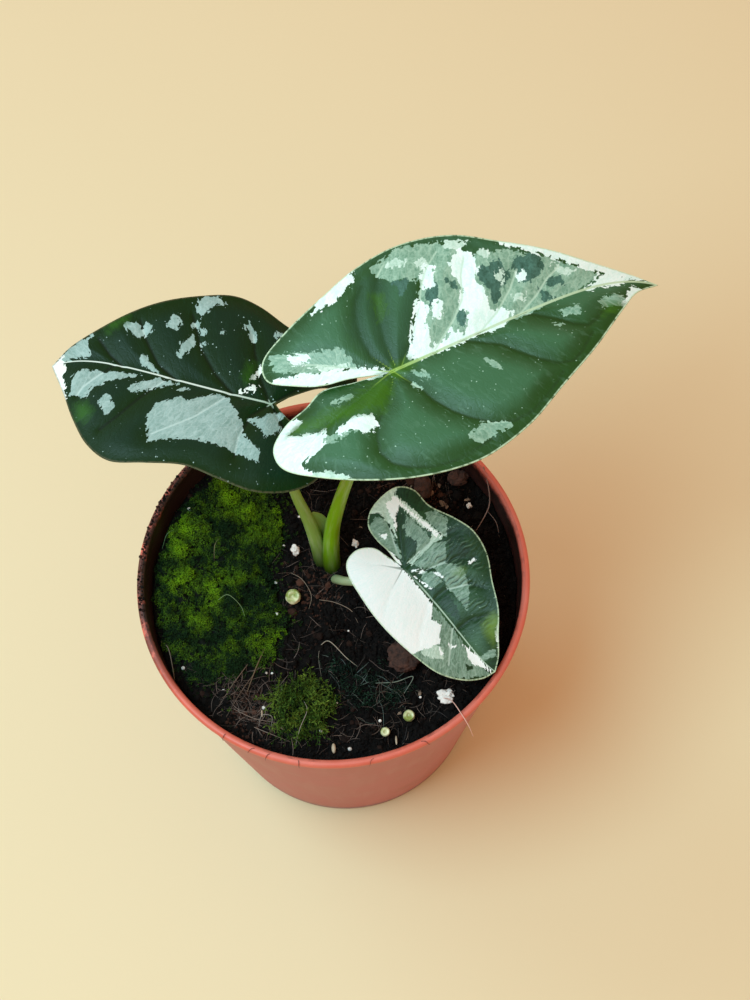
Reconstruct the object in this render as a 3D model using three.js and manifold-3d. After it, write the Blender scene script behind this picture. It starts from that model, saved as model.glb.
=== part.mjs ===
// A potted frydek alocasia: a young plant with three arrow-shaped leaves in a plastic nursery pot.
// Millimetres, +Z up. The origin is the centre of the pot's foot, on the surface it stands on.

import * as THREE from 'three';
import { mergeVertices } from 'three/addons/utils/BufferGeometryUtils.js';
import Module from 'manifold-3d';

const wasm = await Module();
wasm.setup();

// Driving sizes
const pot = {
  height: 92,
  rimRadius: 50,
  rimWidth: 2,
  rimDepth: 2.2,
  footRadius: 35.5,
  wall: 1.1,
  channelDepth: 3,
  padRadius: 12,
  drainHoles: 6,
  drainRadius: 3,
  drainCircle: 22,
  facets: 48,
};
const gap = 0.3;
const soilLevel = pot.height - 8;
const crown = { x: -0.5, y: 5.2 };
const corm = { top: 83, bottom: 66, radius: 6.5 };
const stemHoleRadius = 5.6;
const bladeThickness = 0.8;

const degrees = Math.PI / 180;

// Joining and cutting

function mergedTriangles(geometry) {
  const bare = geometry.clone();
  bare.deleteAttribute('normal');
  bare.deleteAttribute('uv');
  const merged = mergeVertices(bare, 1e-4);
  const corners = merged.index.array;
  const kept = [];
  for (let i = 0; i < corners.length; i += 3) {
    const [a, b, c] = [corners[i], corners[i + 1], corners[i + 2]];
    if (a !== b && b !== c && c !== a) kept.push(a, b, c);
  }
  merged.setIndex(kept);
  return merged;
}

function toSolid(geometry) {
  const merged = mergedTriangles(geometry);
  return new wasm.Manifold(new wasm.Mesh({
    numProp: 3,
    vertProperties: new Float32Array(merged.attributes.position.array),
    triVerts: new Uint32Array(merged.index.array),
  }));
}

// A cut can leave loose scraps, so only the largest body is kept.
function toGeometry(solid) {
  const bodies = solid.decompose();
  const largest = bodies.reduce((best, body) => (body.volume() > best.volume() ? body : best));
  const mesh = largest.getMesh();
  const geometry = new THREE.BufferGeometry();
  geometry.setAttribute('position', new THREE.Float32BufferAttribute(mesh.vertProperties, 3));
  geometry.setIndex(Array.from(mesh.triVerts));
  return geometry;
}

// A geometry made from corner points: equal points share one vertex, and flat triangles are dropped.
class Shell {
  constructor() {
    this.positions = [];
    this.index = [];
    this.known = new Map();
  }

  vertex([x, y, z]) {
    const key = [x, y, z].map((value) => Math.round(value * 1e4)).join();
    if (!this.known.has(key)) {
      this.known.set(key, this.positions.length / 3);
      this.positions.push(x, y, z);
    }
    return this.known.get(key);
  }

  triangle(a, b, c) {
    if (a !== b && b !== c && c !== a) this.index.push(a, b, c);
  }

  quad(a, b, c, d) {
    this.triangle(a, b, c);
    this.triangle(a, c, d);
  }

  geometry() {
    const geometry = new THREE.BufferGeometry();
    geometry.setAttribute('position', new THREE.Float32BufferAttribute(this.positions, 3));
    geometry.setIndex(this.index);
    return geometry;
  }
}

// A closed tube along a curve, with its own radius at each given point.
function stem(points, radii, sides, steps, clearance = 0) {
  const curve = new THREE.CatmullRomCurve3(points.map((p) => new THREE.Vector3(...p)));
  const frames = curve.computeFrenetFrames(steps, false);
  const shell = new Shell();
  const rings = [];
  for (let i = 0; i <= steps; i += 1) {
    const along = i / steps;
    const place = along * (radii.length - 1);
    const before = Math.min(Math.floor(place), radii.length - 2);
    const radius = THREE.MathUtils.lerp(radii[before], radii[before + 1], place - before) + clearance;
    const centre = curve.getPointAt(along);
    const ring = [];
    for (let k = 0; k < sides; k += 1) {
      const angle = (k / sides) * 2 * Math.PI;
      const point = centre.clone()
        .addScaledVector(frames.normals[i], radius * Math.cos(angle))
        .addScaledVector(frames.binormals[i], radius * Math.sin(angle));
      ring.push(shell.vertex(point.toArray()));
    }
    rings.push(ring);
  }
  const start = shell.vertex(curve.getPointAt(0).toArray());
  const end = shell.vertex(curve.getPointAt(1).toArray());
  for (let k = 0; k < sides; k += 1) {
    const next = (k + 1) % sides;
    shell.triangle(start, rings[0][next], rings[0][k]);
    shell.triangle(end, rings[steps][k], rings[steps][next]);
    for (let i = 0; i < steps; i += 1) {
      shell.quad(rings[i][k], rings[i][next], rings[i + 1][next], rings[i + 1][k]);
    }
  }
  return shell.geometry();
}

// A ring turned about the upright axis from [radius, height] points.
function turned(profile, facets) {
  const points = profile.map(([radius, height]) => new THREE.Vector2(radius, height));
  return new THREE.LatheGeometry(points, facets).rotateX(Math.PI / 2);
}

// Pot

const foot = { edge: 0.8, ring: 4 };
const wallTop = pot.height - pot.rimDepth;
const wallTopRadius = pot.rimRadius - 0.9;
const wallSlope = (wallTopRadius - pot.footRadius) / (wallTop - foot.edge);

function outerWallRadius(z) {
  return pot.footRadius + wallSlope * (z - foot.edge);
}

function innerWallRadius(z) {
  return outerWallRadius(z) - pot.wall;
}

const floorTop = pot.channelDepth + pot.wall;
const padTop = pot.wall;

function potGeometry() {
  const { height, rimRadius, rimWidth, rimDepth, footRadius, channelDepth, padRadius } = pot;
  const ringInside = footRadius - foot.ring;
  const profile = [
    [0, 0],
    [padRadius, 0],
    [padRadius + 1.5, channelDepth],
    [ringInside - 1.5, channelDepth],
    [ringInside, 0],
    [footRadius - 0.5, 0],
    [footRadius, foot.edge],
    [outerWallRadius(wallTop), wallTop],
    [rimRadius - 0.3, wallTop + 0.3],
    [rimRadius, wallTop + 0.9],
    [rimRadius, height - 0.7],
    [rimRadius - 0.5, height],
    [rimRadius - rimWidth + 0.5, height],
    [rimRadius - rimWidth, height - 0.6],
    [innerWallRadius(wallTop), height - rimDepth],
    [innerWallRadius(floorTop + 2), floorTop + 2],
    [innerWallRadius(floorTop) - 1.5, floorTop],
    [padRadius + 0.9, floorTop],
    [padRadius - 0.6, padTop],
    [0, padTop],
  ];
  let solid = toSolid(turned(profile, pot.facets));
  for (let i = 0; i < pot.drainHoles; i += 1) {
    const angle = ((i + 0.5) / pot.drainHoles) * 2 * Math.PI;
    const drill = new THREE.CylinderGeometry(pot.drainRadius, pot.drainRadius, 10, 12).rotateX(Math.PI / 2);
    drill.translate(pot.drainCircle * Math.cos(angle), pot.drainCircle * Math.sin(angle), floorTop);
    solid = solid.subtract(toSolid(drill));
  }
  return toGeometry(solid);
}

// Ground: the soil's relief is still under the moss and round the crown, and rough elsewhere.

const mossMat = {
  x: -29,
  y: 4,
  radii: [12, 14, 20, 26, 28.4, 27.5, 24, 19.5, 17.3, 16.7, 16.4, 17.5, 19.7, 23.4, 27, 27, 25, 24, 20, 14],
  thickness: 2.4,
};
const mossTuft = { x: -10, y: -32, radius: 7.8, height: 4.2 };
const stillMargin = 7;

function mossReach(angle) {
  const { radii } = mossMat;
  const place = (((angle / (2 * Math.PI)) % 1) + 1) % 1 * radii.length;
  const before = Math.floor(place) % radii.length;
  const blend = place - Math.floor(place);
  const eased = blend * blend * (3 - 2 * blend);
  return THREE.MathUtils.lerp(radii[before], radii[(before + 1) % radii.length], eased);
}

function tuftReach(angle) {
  return mossTuft.radius * (1 + 0.08 * Math.sin(3 * angle + 0.6) + 0.05 * Math.sin(5 * angle));
}
const tuftWidest = mossTuft.radius * 1.13;

function soilRelief(x, y) {
  return 0.8 * Math.sin(0.21 * x + 1.3) * Math.cos(0.17 * y - 0.4)
    + 0.5 * Math.sin(0.43 * x + 0.33 * y)
    + 0.3 * Math.sin(0.71 * y - 0.52 * x + 2);
}

function soilHeight(x, y) {
  const fromMat = Math.hypot(x - mossMat.x, y - mossMat.y)
    - mossReach(Math.atan2(y - mossMat.y, x - mossMat.x));
  const fromTuft = Math.hypot(x - mossTuft.x, y - mossTuft.y) - tuftWidest;
  const fromCrown = Math.hypot(x - crown.x, y - crown.y) - stemHoleRadius;
  const away = Math.min(fromMat, fromTuft, fromCrown);
  return soilLevel + soilRelief(x, y) * THREE.MathUtils.smoothstep(away, stillMargin, stillMargin + 5);
}

const soilRings = 10;

function soilRadius(z) {
  return innerWallRadius(z) - gap;
}

// The points of the soil's top, ring by ring from the centre outwards.
function soilTopRings() {
  const rings = [];
  for (let ring = 1; ring <= soilRings; ring += 1) {
    const points = [];
    for (let k = 0; k < pot.facets; k += 1) {
      const angle = (k / pot.facets) * 2 * Math.PI;
      const reach = (ring / soilRings) * soilRadius(soilLevel);
      let x = reach * Math.cos(angle);
      let y = reach * Math.sin(angle);
      const z = soilHeight(x, y);
      if (ring === soilRings) {
        x = soilRadius(z) * Math.cos(angle);
        y = soilRadius(z) * Math.sin(angle);
      }
      points.push([x, y, z]);
    }
    rings.push(points);
  }
  return rings;
}

function ringPoints(radius, z) {
  const points = [];
  for (let k = 0; k < pot.facets; k += 1) {
    const angle = (k / pot.facets) * 2 * Math.PI;
    points.push([radius * Math.cos(angle), radius * Math.sin(angle), z]);
  }
  return points;
}

function soilGeometry(hollows) {
  const floor = floorTop + gap;
  const rings = [
    ...soilTopRings(),
    ringPoints(soilRadius(floor + 2), floor + 2),
    ringPoints(soilRadius(floor) - 1.5, floor),
    ringPoints(pot.padRadius + 0.9, floor),
    ringPoints(pot.padRadius - 1, padTop + gap),
  ];
  const shell = new Shell();
  const indexed = rings.map((ring) => ring.map((point) => shell.vertex(point)));
  const top = shell.vertex([0, 0, soilHeight(0, 0)]);
  const bottom = shell.vertex([0, 0, padTop + gap]);
  const last = indexed.length - 1;
  for (let k = 0; k < pot.facets; k += 1) {
    const next = (k + 1) % pot.facets;
    shell.triangle(top, indexed[0][k], indexed[0][next]);
    shell.triangle(bottom, indexed[last][next], indexed[last][k]);
    for (let ring = 0; ring < last; ring += 1) {
      shell.quad(indexed[ring][k], indexed[ring + 1][k], indexed[ring + 1][next], indexed[ring][next]);
    }
  }
  let solid = toSolid(shell.geometry());
  hollows.forEach((hollow) => {
    solid = solid.subtract(toSolid(hollow));
  });
  return toGeometry(solid);
}

// A low mound with a flat underside, inside an outline given as a reach for each angle.
function moundGeometry({ x, y, reach, rise, spokes, rings }) {
  const base = soilLevel + gap;
  const shell = new Shell();
  const tops = [];
  const bottoms = [];
  for (let ring = 1; ring <= rings; ring += 1) {
    const out = ring / rings;
    const topRing = [];
    const bottomRing = [];
    for (let k = 0; k < spokes; k += 1) {
      const angle = (k / spokes) * 2 * Math.PI;
      const px = x + out * reach(angle) * Math.cos(angle);
      const py = y + out * reach(angle) * Math.sin(angle);
      topRing.push(shell.vertex([px, py, base + rise(out, px, py)]));
      bottomRing.push(shell.vertex([px, py, base]));
    }
    tops.push(topRing);
    bottoms.push(bottomRing);
  }
  const top = shell.vertex([x, y, base + rise(0, x, y)]);
  const bottom = shell.vertex([x, y, base]);
  const last = rings - 1;
  for (let k = 0; k < spokes; k += 1) {
    const next = (k + 1) % spokes;
    shell.triangle(top, tops[0][k], tops[0][next]);
    shell.triangle(bottom, bottoms[0][next], bottoms[0][k]);
    shell.quad(tops[last][k], bottoms[last][k], bottoms[last][next], tops[last][next]);
    for (let ring = 0; ring < last; ring += 1) {
      shell.quad(tops[ring][k], tops[ring + 1][k], tops[ring + 1][next], tops[ring][next]);
      shell.quad(bottoms[ring][next], bottoms[ring + 1][next], bottoms[ring + 1][k], bottoms[ring][k]);
    }
  }
  return shell.geometry();
}

function mossLumps(x, y) {
  return 0.5 * Math.sin(0.62 * x + 0.4) * Math.sin(0.55 * y + 1.1) + 0.25 * Math.sin(1.1 * x + 0.9 * y);
}

function mossMatGeometry() {
  const { x, y, thickness } = mossMat;
  const rise = (out, px, py) => 0.6 + (thickness - 0.6 + mossLumps(px, py)) * (1 - out ** 4);
  return moundGeometry({ x, y, reach: mossReach, rise, spokes: 40, rings: 6 });
}

function mossTuftGeometry() {
  const { x, y, height } = mossTuft;
  const rise = (out, px, py) => 0.5 + (height - 0.5 + 1.4 * mossLumps(1.6 * px, 1.6 * py)) * (1 - out ** 2);
  return moundGeometry({ x, y, reach: tuftReach, rise, spokes: 20, rings: 5 });
}

// Small grains that lie on the soil: each is a lumpy ball, resting just above the highest point below it.

function soilTopUnder(x, y, radius) {
  const cell = soilRadius(soilLevel) / soilRings;
  let highest = -Infinity;
  soilTopRings().flat().forEach(([px, py, pz]) => {
    if (Math.hypot(px - x, py - y) < radius + cell) highest = Math.max(highest, pz);
  });
  return highest;
}

function grainGeometry({ x, y, size, lumps = 0.12, turn = 0 }) {
  const geometry = mergedTriangles(new THREE.IcosahedronGeometry(1, 1));
  const place = geometry.attributes.position;
  for (let i = 0; i < place.count; i += 1) {
    const point = new THREE.Vector3().fromBufferAttribute(place, i);
    const swell = 1 + lumps * Math.sin(3.1 * point.x + 4.3 * point.y + 2.7 * point.z + 5 * turn);
    point.multiplyScalar(swell).multiply(new THREE.Vector3(...size).multiplyScalar(0.5));
    place.setXYZ(i, point.x, point.y, point.z);
  }
  geometry.rotateZ(turn);
  geometry.computeBoundingBox();
  const reach = Math.max(size[0], size[1]) / 2;
  geometry.translate(x, y, soilTopUnder(x, y, reach) + gap - geometry.boundingBox.min.z);
  return geometry;
}

// Rootstock: a corm with roots that run down into the soil

const roots = Array.from({ length: 6 }, (_, i) => {
  const angle = (i / 6) * 2 * Math.PI + 0.4;
  const out = [Math.cos(angle), Math.sin(angle)];
  const spread = 15 + 6 * (i % 3);
  const depth = 34 + 7 * ((i * 2) % 3);
  const start = corm.bottom + 6;
  const at = (reach, drop) => [crown.x + out[0] * reach, crown.y + out[1] * reach, start - drop];
  return [
    at(3, -1),
    at(7.5, 2),
    at(spread * 0.7, depth * 0.3),
    at(spread, depth * 0.65),
    at(spread + 2, depth),
  ];
});
const rootRadii = [1.3, 1.0, 0.8, 0.6, 0.4];

function cormGeometry(clearance) {
  const middle = (corm.top + corm.bottom) / 2;
  const half = (corm.top - corm.bottom) / 2 + clearance;
  const profile = [];
  const steps = 8;
  for (let i = 0; i <= steps; i += 1) {
    const angle = -Math.PI / 2 + (i / steps) * Math.PI;
    const radius = i % steps === 0 ? 0 : (corm.radius + clearance) * Math.cos(angle) ** 0.8;
    profile.push([radius, middle + half * Math.sin(angle)]);
  }
  return turned(profile, 20).translate(crown.x, crown.y, 0);
}

function rootGeometry(points, clearance) {
  return stem(points, rootRadii, 6, 9, clearance);
}

function rootstockGeometry() {
  let solid = toSolid(cormGeometry(0));
  roots.forEach((points) => {
    solid = solid.add(toSolid(rootGeometry(points, 0)));
  });
  return toGeometry(solid);
}

function stemHole() {
  const depth = corm.top - corm.bottom;
  const hole = new THREE.CylinderGeometry(stemHoleRadius, stemHoleRadius, depth, 20).rotateX(Math.PI / 2);
  return hole.translate(crown.x, crown.y, corm.top);
}

// Blades

// Each blade has its own frame: u runs along the midrib to the tip, v across it and w up out of the blade.
// Outlines go from the notch between the lobes, round the lobe and along the side to the tip, as [u, v].
// lobeStart, lobeEnd and shoulder number the outline's points: the margin between lobeStart and lobeEnd
// wraps the end of the lobe's rib, and the shoulder lies opposite the stem.
const bladeA = {
  attach: [17.6, 20.7, 164],
  heading: 19,
  pitch: 5,
  roll: 2,
  length: 66.2,
  lobeLength: 34,
  droop: 11,
  lobeDroop: 4.5,
  fold: 0.2,
  cup: 0.0055,
  twist: 0,
  swing: 4.06,
  hook: -5.86,
  quilt: 0.9,
  halves: [
    {
      outline: [
        [-2, 0.3], [-9, 2.1], [-16, 3.4], [-22, 6.6], [-26.6, 10.6], [-25.6, 15.6], [-18, 19.4], [-7, 23.4],
        [2, 26.8], [11, 28.5], [19, 27.8], [27, 25], [35, 19.9], [45, 13.9], [54, 7.4], [61, 2.4],
        [66.2, -1.8],
      ],
      lobeStart: 3,
      lobeEnd: 5,
      shoulder: 9,
      rib: [-17, 10],
      sinusLift: 1.1,
      wave: 0.5,
      waves: 3,
    },
    {
      outline: [
        [-2, 0.3], [-9, 1.4], [-16, 2.8], [-21, 1], [-27, -0.6], [-31.6, -4.6], [-31.2, -10.4], [-25, -16.2],
        [-16, -21.9], [-6, -26.1], [4, -28.1], [13, -28], [24, -24.9], [34, -19.6], [45, -13.5], [55, -6.4],
        [60.4, -2.7], [66.2, -1.8],
      ],
      lobeStart: 4,
      lobeEnd: 6,
      shoulder: 11,
      rib: [-23, -7],
      sinusLift: -0.7,
      wave: 0.6,
      waves: 2.5,
    },
  ],
};

const bladeB = {
  attach: [-11, 24.5, 144],
  heading: 167,
  pitch: 11,
  roll: 7,
  length: 52.3,
  lobeLength: 24,
  droop: 4.5,
  lobeDroop: 3.5,
  fold: 0.17,
  cup: 0.005,
  twist: 0.004,
  swing: -4.9,
  hook: 5.1,
  quilt: 0.7,
  halves: [
    {
      outline: [
        [-0.8, -0.4], [-5, -3.4], [-10.5, -6.8], [-16, -8.6], [-19.2, -11.4], [-17.6, -15.4], [-10, -18.8],
        [-1, -21.5], [7, -25], [14, -25.9], [22, -23.4], [30, -20], [37, -15.7], [43.6, -10.3], [49, -5.1],
        [52.3, 0.2],
      ],
      lobeStart: 3,
      lobeEnd: 5,
      shoulder: 8,
      rib: [-12, -11.5],
      sinusLift: 0.4,
      wave: 0.5,
      waves: 2,
    },
    {
      outline: [
        [-0.8, -0.4], [-4, 2.8], [-9, 6.2], [-13.2, 9.4], [-15, 13.4], [-13.4, 18], [-8, 22.3], [0, 24.5],
        [9, 23], [17, 21.3], [26, 22], [34, 22.4], [40, 18.9], [44.6, 13], [48.4, 6.4], [52.3, 0.2],
      ],
      lobeStart: 3,
      lobeEnd: 5,
      shoulder: 8,
      rib: [-9, 13.5],
      sinusLift: 0,
      wave: 0.7,
      waves: 2,
    },
  ],
};

const bladeC = {
  attach: [18, -1.8, 99],
  heading: -51,
  pitch: -5,
  roll: 2,
  length: 34.6,
  lobeLength: 18,
  droop: 1.8,
  lobeDroop: 1.5,
  fold: 0.35,
  cup: 0.004,
  twist: 0,
  swing: -2.8,
  hook: 1.8,
  quilt: 0.5,
  halves: [
    {
      outline: [
        [-2, -0.3], [-6, 0.1], [-10, 0], [-14.6, 1.2], [-17.2, 5.2], [-16.8, 12], [-13, 15.4], [-7, 15.4],
        [0, 17.4], [6, 18.5], [12, 17.2], [18, 13.4], [24, 9.8], [28.6, 5.6], [32.4, 2.2], [34.6, -1],
      ],
      lobeStart: 3,
      lobeEnd: 5,
      shoulder: 8,
      rib: [-11, 8.2],
      sinusLift: 0.5,
      wave: 0.8,
      waves: 4,
    },
    {
      outline: [
        [-2, -0.3], [-5.4, -0.9], [-9, -1.9], [-11.3, -5.4], [-10.6, -9.6], [-7.4, -12], [-2, -13.4],
        [5, -14.6], [12, -14.8], [20, -13.9], [26, -12.4], [31, -8.9], [33.8, -4.8], [34.6, -1],
      ],
      lobeStart: 2,
      lobeEnd: 4,
      shoulder: 7,
      rib: [-6.6, -6],
      sinusLift: -0.4,
      wave: 0.4,
      waves: 2,
    },
  ],
};

const bladeSteps = { lobe: 7, lobeTip: 5, side: 16 };
const veinsAlong = 4;
const bladeRows = [0, 0.2, 0.45, 0.7, 0.88, 1];

function bladeFrame({ heading, pitch, roll }) {
  const h = heading * degrees;
  const p = pitch * degrees;
  const r = roll * degrees;
  const u = new THREE.Vector3(Math.cos(h) * Math.cos(p), Math.sin(h) * Math.cos(p), Math.sin(p));
  const level = new THREE.Vector3(-Math.sin(h), Math.cos(h), 0);
  const up = new THREE.Vector3().crossVectors(u, level);
  const v = level.multiplyScalar(Math.cos(r)).addScaledVector(up, Math.sin(r));
  const w = new THREE.Vector3().crossVectors(u, v);
  return { u, v, w };
}

function midribAcross({ swing, hook }, along) {
  return swing * along ** 2 + hook * along ** 8;
}

// The blade's middle height over its frame, without quilting or waves.
function bladeRise(blade, u, v) {
  const along = Math.max(u, 0) / blade.length;
  const across = v - midribAcross(blade, along);
  const sag = u > 0 ? blade.droop * along ** 3 : blade.lobeDroop * (u / blade.lobeLength) ** 2;
  const fold = blade.fold * (Math.hypot(across, 2) - 2) - blade.cup * across ** 2;
  return fold - sag - blade.twist * Math.max(u, 0) * across;
}

// The stations of one half, in order from the notch to the tip. Each has the point on a rib that it
// starts from, the place on the outline where it ends, and a count of the side veins passed.
function halfStations(blade, half) {
  const { lobeStart, lobeEnd, shoulder, outline, rib } = half;
  const { lobe, lobeTip, side } = bladeSteps;
  const tip = outline.length - 1;
  const stations = [];
  for (let i = 0; i <= lobe; i += 1) {
    const part = i / lobe;
    stations.push({ root: [rib[0] * part, rib[1] * part], edge: lobeStart * part, vein: part });
  }
  for (let i = 1; i <= lobeTip; i += 1) {
    const part = i / lobeTip;
    stations.push({ root: rib, edge: lobeStart + (lobeEnd - lobeStart) * part, vein: 1 + part });
  }
  for (let i = 1; i <= lobe; i += 1) {
    const part = i / lobe;
    const root = [rib[0] * (1 - part), rib[1] * (1 - part)];
    stations.push({ root, edge: lobeEnd + (shoulder - lobeEnd) * part, vein: 2 + 2 * part });
  }
  for (let i = 1; i <= side; i += 1) {
    const part = i / side;
    const root = [blade.length * part, midribAcross(blade, part)];
    stations.push({ root, edge: shoulder + (tip - shoulder) * part, vein: 4 + veinsAlong * part });
  }
  return stations;
}

function bladePoint(blade, half, curve, station, row) {
  const { outline, sinusLift, wave, waves } = half;
  const round = station.edge / (outline.length - 1);
  const edge = curve.getPoint(round);
  const u = THREE.MathUtils.lerp(station.root[0], edge.x, row);
  const v = THREE.MathUtils.lerp(station.root[1], edge.y, row);
  const swell = blade.quilt * Math.abs(Math.sin(Math.PI * station.vein)) * Math.sin(Math.PI * row);
  const lift = sinusLift * row ** 2 * Math.sin(Math.PI * Math.min(station.vein / 1.6, 1));
  const ripple = wave * Math.sin(2 * Math.PI * waves * round) * Math.sin(Math.PI * round) * row ** 3;
  return [u, v, bladeRise(blade, u, v) + swell + lift + ripple];
}

function bladeGeometry(blade) {
  const frame = bladeFrame(blade);
  const attach = new THREE.Vector3(...blade.attach);
  const shell = new Shell();
  const place = ([u, v, w]) => shell.vertex(attach.clone()
    .addScaledVector(frame.u, u)
    .addScaledVector(frame.v, v)
    .addScaledVector(frame.w, w)
    .toArray());
  blade.halves.forEach((half) => {
    const points = half.outline.map(([u, v]) => new THREE.Vector3(u, v, 0));
    const curve = new THREE.CatmullRomCurve3(points, false, 'catmullrom', 0.5);
    const leftward = half.outline[half.shoulder][1] > 0;
    const columns = halfStations(blade, half).map((station) => bladeRows.map((row) => {
      const [u, v, w] = bladePoint(blade, half, curve, station, row);
      return [place([u, v, w + bladeThickness / 2]), place([u, v, w - bladeThickness / 2])];
    }));
    const face = (a, b, c, d) => (leftward ? shell.quad(a, b, c, d) : shell.quad(a, d, c, b));
    const last = bladeRows.length - 1;
    for (let i = 1; i < columns.length; i += 1) {
      for (let j = 0; j < last; j += 1) {
        const [near, far] = [columns[i - 1], columns[i]];
        face(near[j][0], far[j][0], far[j + 1][0], near[j + 1][0]);
        face(near[j + 1][1], far[j + 1][1], far[j][1], near[j][1]);
      }
      const [near, far] = [columns[i - 1][last], columns[i][last]];
      face(near[0], far[0], far[1], near[1]);
    }
  });
  return shell.geometry();
}

// Leaf stems: each rises from the crown and turns up to meet its blade square on.

function stemEnd(blade, depth) {
  const { w } = bladeFrame(blade);
  return new THREE.Vector3(...blade.attach).addScaledVector(w, -depth).toArray();
}

const stemStop = bladeThickness / 2 + gap;
const stems = {
  a: {
    points: [
      [0.2, 4.6, 80], [-0.2, 6.6, 88], [0.6, 10.2, 98], [3, 12.4, 110], [6.6, 14.6, 124],
      [12.6, 18, 146], stemEnd(bladeA, 5), stemEnd(bladeA, stemStop),
    ],
    radii: [2.4, 2.3, 2, 1.7, 1.45, 1.25, 1.2, 1.4],
    sides: 12,
    steps: 20,
  },
  b: {
    points: [
      [-2.4, 6.4, 80], [-3.4, 9, 91], [-5, 11.8, 101], [-7.6, 14.6, 113], [-10, 19, 128],
      stemEnd(bladeB, 5), stemEnd(bladeB, stemStop),
    ],
    radii: [2.2, 1.9, 1.6, 1.3, 1.15, 1.1, 1.3],
    sides: 12,
    steps: 18,
  },
  c: {
    points: [
      [-0.2, 3.4, 80], [0.6, 2, 85], [3, 0, 88.4], [8, -1.6, 91], [14, -2.2, 93],
      stemEnd(bladeC, 3), stemEnd(bladeC, stemStop),
    ],
    radii: [1.3, 1.25, 1.15, 1.05, 1, 1, 1.1],
    sides: 10,
    steps: 16,
  },
};

function stemSolid({ points, radii, sides, steps }, clearance = 0) {
  return toSolid(stem(points, radii, sides, steps, clearance));
}

// The thin wing of the left stem's sheath, which stands behind the fork of the two tall stems.
const sheath = {
  low: 88,
  high: 103.5,
  thickness: 0.8,
  levels: 6,
  columns: 3,
  pastStem: 0.6,
  behind: 2.6,
  bulge: 0.9,
  fall: 1.2,
  taper: 0.75,
};

function centreAtHeight({ points }, z) {
  const samples = new THREE.CatmullRomCurve3(points.map((p) => new THREE.Vector3(...p))).getPoints(200);
  return samples.reduce((best, point) => (Math.abs(point.z - z) < Math.abs(best.z - z) ? point : best));
}

function sheathWing() {
  const { low, high, thickness, levels, columns, pastStem, behind, bulge, fall, taper } = sheath;
  const shell = new Shell();
  const rows = [];
  for (let i = 0; i <= levels; i += 1) {
    const part = i / levels;
    const z = THREE.MathUtils.lerp(low, high, part);
    const left = centreAtHeight(stems.b, z);
    const right = centreAtHeight(stems.a, z).add(new THREE.Vector3(pastStem, behind, 0));
    const reach = 1 - taper * part ** 3;
    const row = [];
    for (let j = 0; j <= columns; j += 1) {
      const across = (j / columns) * reach;
      const x = THREE.MathUtils.lerp(left.x, right.x, across);
      const y = THREE.MathUtils.lerp(left.y, right.y, across) + bulge * Math.sin(Math.PI * across);
      const height = z - fall * part * across;
      row.push([shell.vertex([x, y - thickness / 2, height]), shell.vertex([x, y + thickness / 2, height])]);
    }
    rows.push(row);
  }
  const [front, back] = [0, 1];
  for (let i = 0; i < levels; i += 1) {
    const [lower, upper] = [rows[i], rows[i + 1]];
    for (let j = 0; j < columns; j += 1) {
      shell.quad(lower[j][front], lower[j + 1][front], upper[j + 1][front], upper[j][front]);
      shell.quad(upper[j][back], upper[j + 1][back], lower[j + 1][back], lower[j][back]);
    }
    shell.quad(lower[0][front], upper[0][front], upper[0][back], lower[0][back]);
    shell.quad(lower[columns][back], upper[columns][back], upper[columns][front], lower[columns][front]);
  }
  const [bottom, top] = [rows[0], rows[levels]];
  for (let j = 0; j < columns; j += 1) {
    shell.quad(bottom[j][back], bottom[j + 1][back], bottom[j + 1][front], bottom[j][front]);
    shell.quad(top[j][front], top[j + 1][front], top[j + 1][back], top[j][back]);
  }
  return toSolid(shell.geometry());
}

function leafStems() {
  const cormRoom = toSolid(cormGeometry(gap));
  const stemGap = gap + 0.1;
  const a = stemSolid(stems.a).subtract(cormRoom);
  const roomForA = stemSolid(stems.a, stemGap);
  const b = stemSolid(stems.b).add(sheathWing()).subtract(cormRoom).subtract(roomForA);
  const roomForB = stemSolid(stems.b, stemGap);
  const c = stemSolid(stems.c).subtract(cormRoom).subtract(roomForA).subtract(roomForB);
  return { a: toGeometry(a), b: toGeometry(b), c: toGeometry(c) };
}

// Assembly

function material(color, roughness) {
  return new THREE.MeshStandardMaterial({ color, roughness, metalness: 0 });
}

const plant = new THREE.Group();

function addPart(name, geometry, color, roughness) {
  const mesh = new THREE.Mesh(geometry, material(color, roughness));
  mesh.name = name;
  plant.add(mesh);
}

const leafStem = leafStems();
const hollows = [cormGeometry(gap), stemHole(), ...roots.map((points) => rootGeometry(points, gap + 0.05))];

addPart('pot', potGeometry(), '#b4553c', 0.5);
addPart('soil', soilGeometry(hollows), '#2a1d18', 0.95);
addPart('moss_mat', mossMatGeometry(), '#3f5a14', 0.95);
addPart('moss_tuft', mossTuftGeometry(), '#46601c', 0.95);
addPart('rootstock', rootstockGeometry(), '#8a6a4a', 0.8);
addPart('petiole_a', leafStem.a, '#6f9a2a', 0.45);
addPart('petiole_b', leafStem.b, '#6f9a34', 0.45);
addPart('petiole_c', leafStem.c, '#a9b88a', 0.45);
addPart('blade_a', bladeGeometry(bladeA), '#3f7548', 0.4);
addPart('blade_b', bladeGeometry(bladeB), '#24452f', 0.4);
addPart('blade_c', bladeGeometry(bladeC), '#9fb9aa', 0.4);

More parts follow.
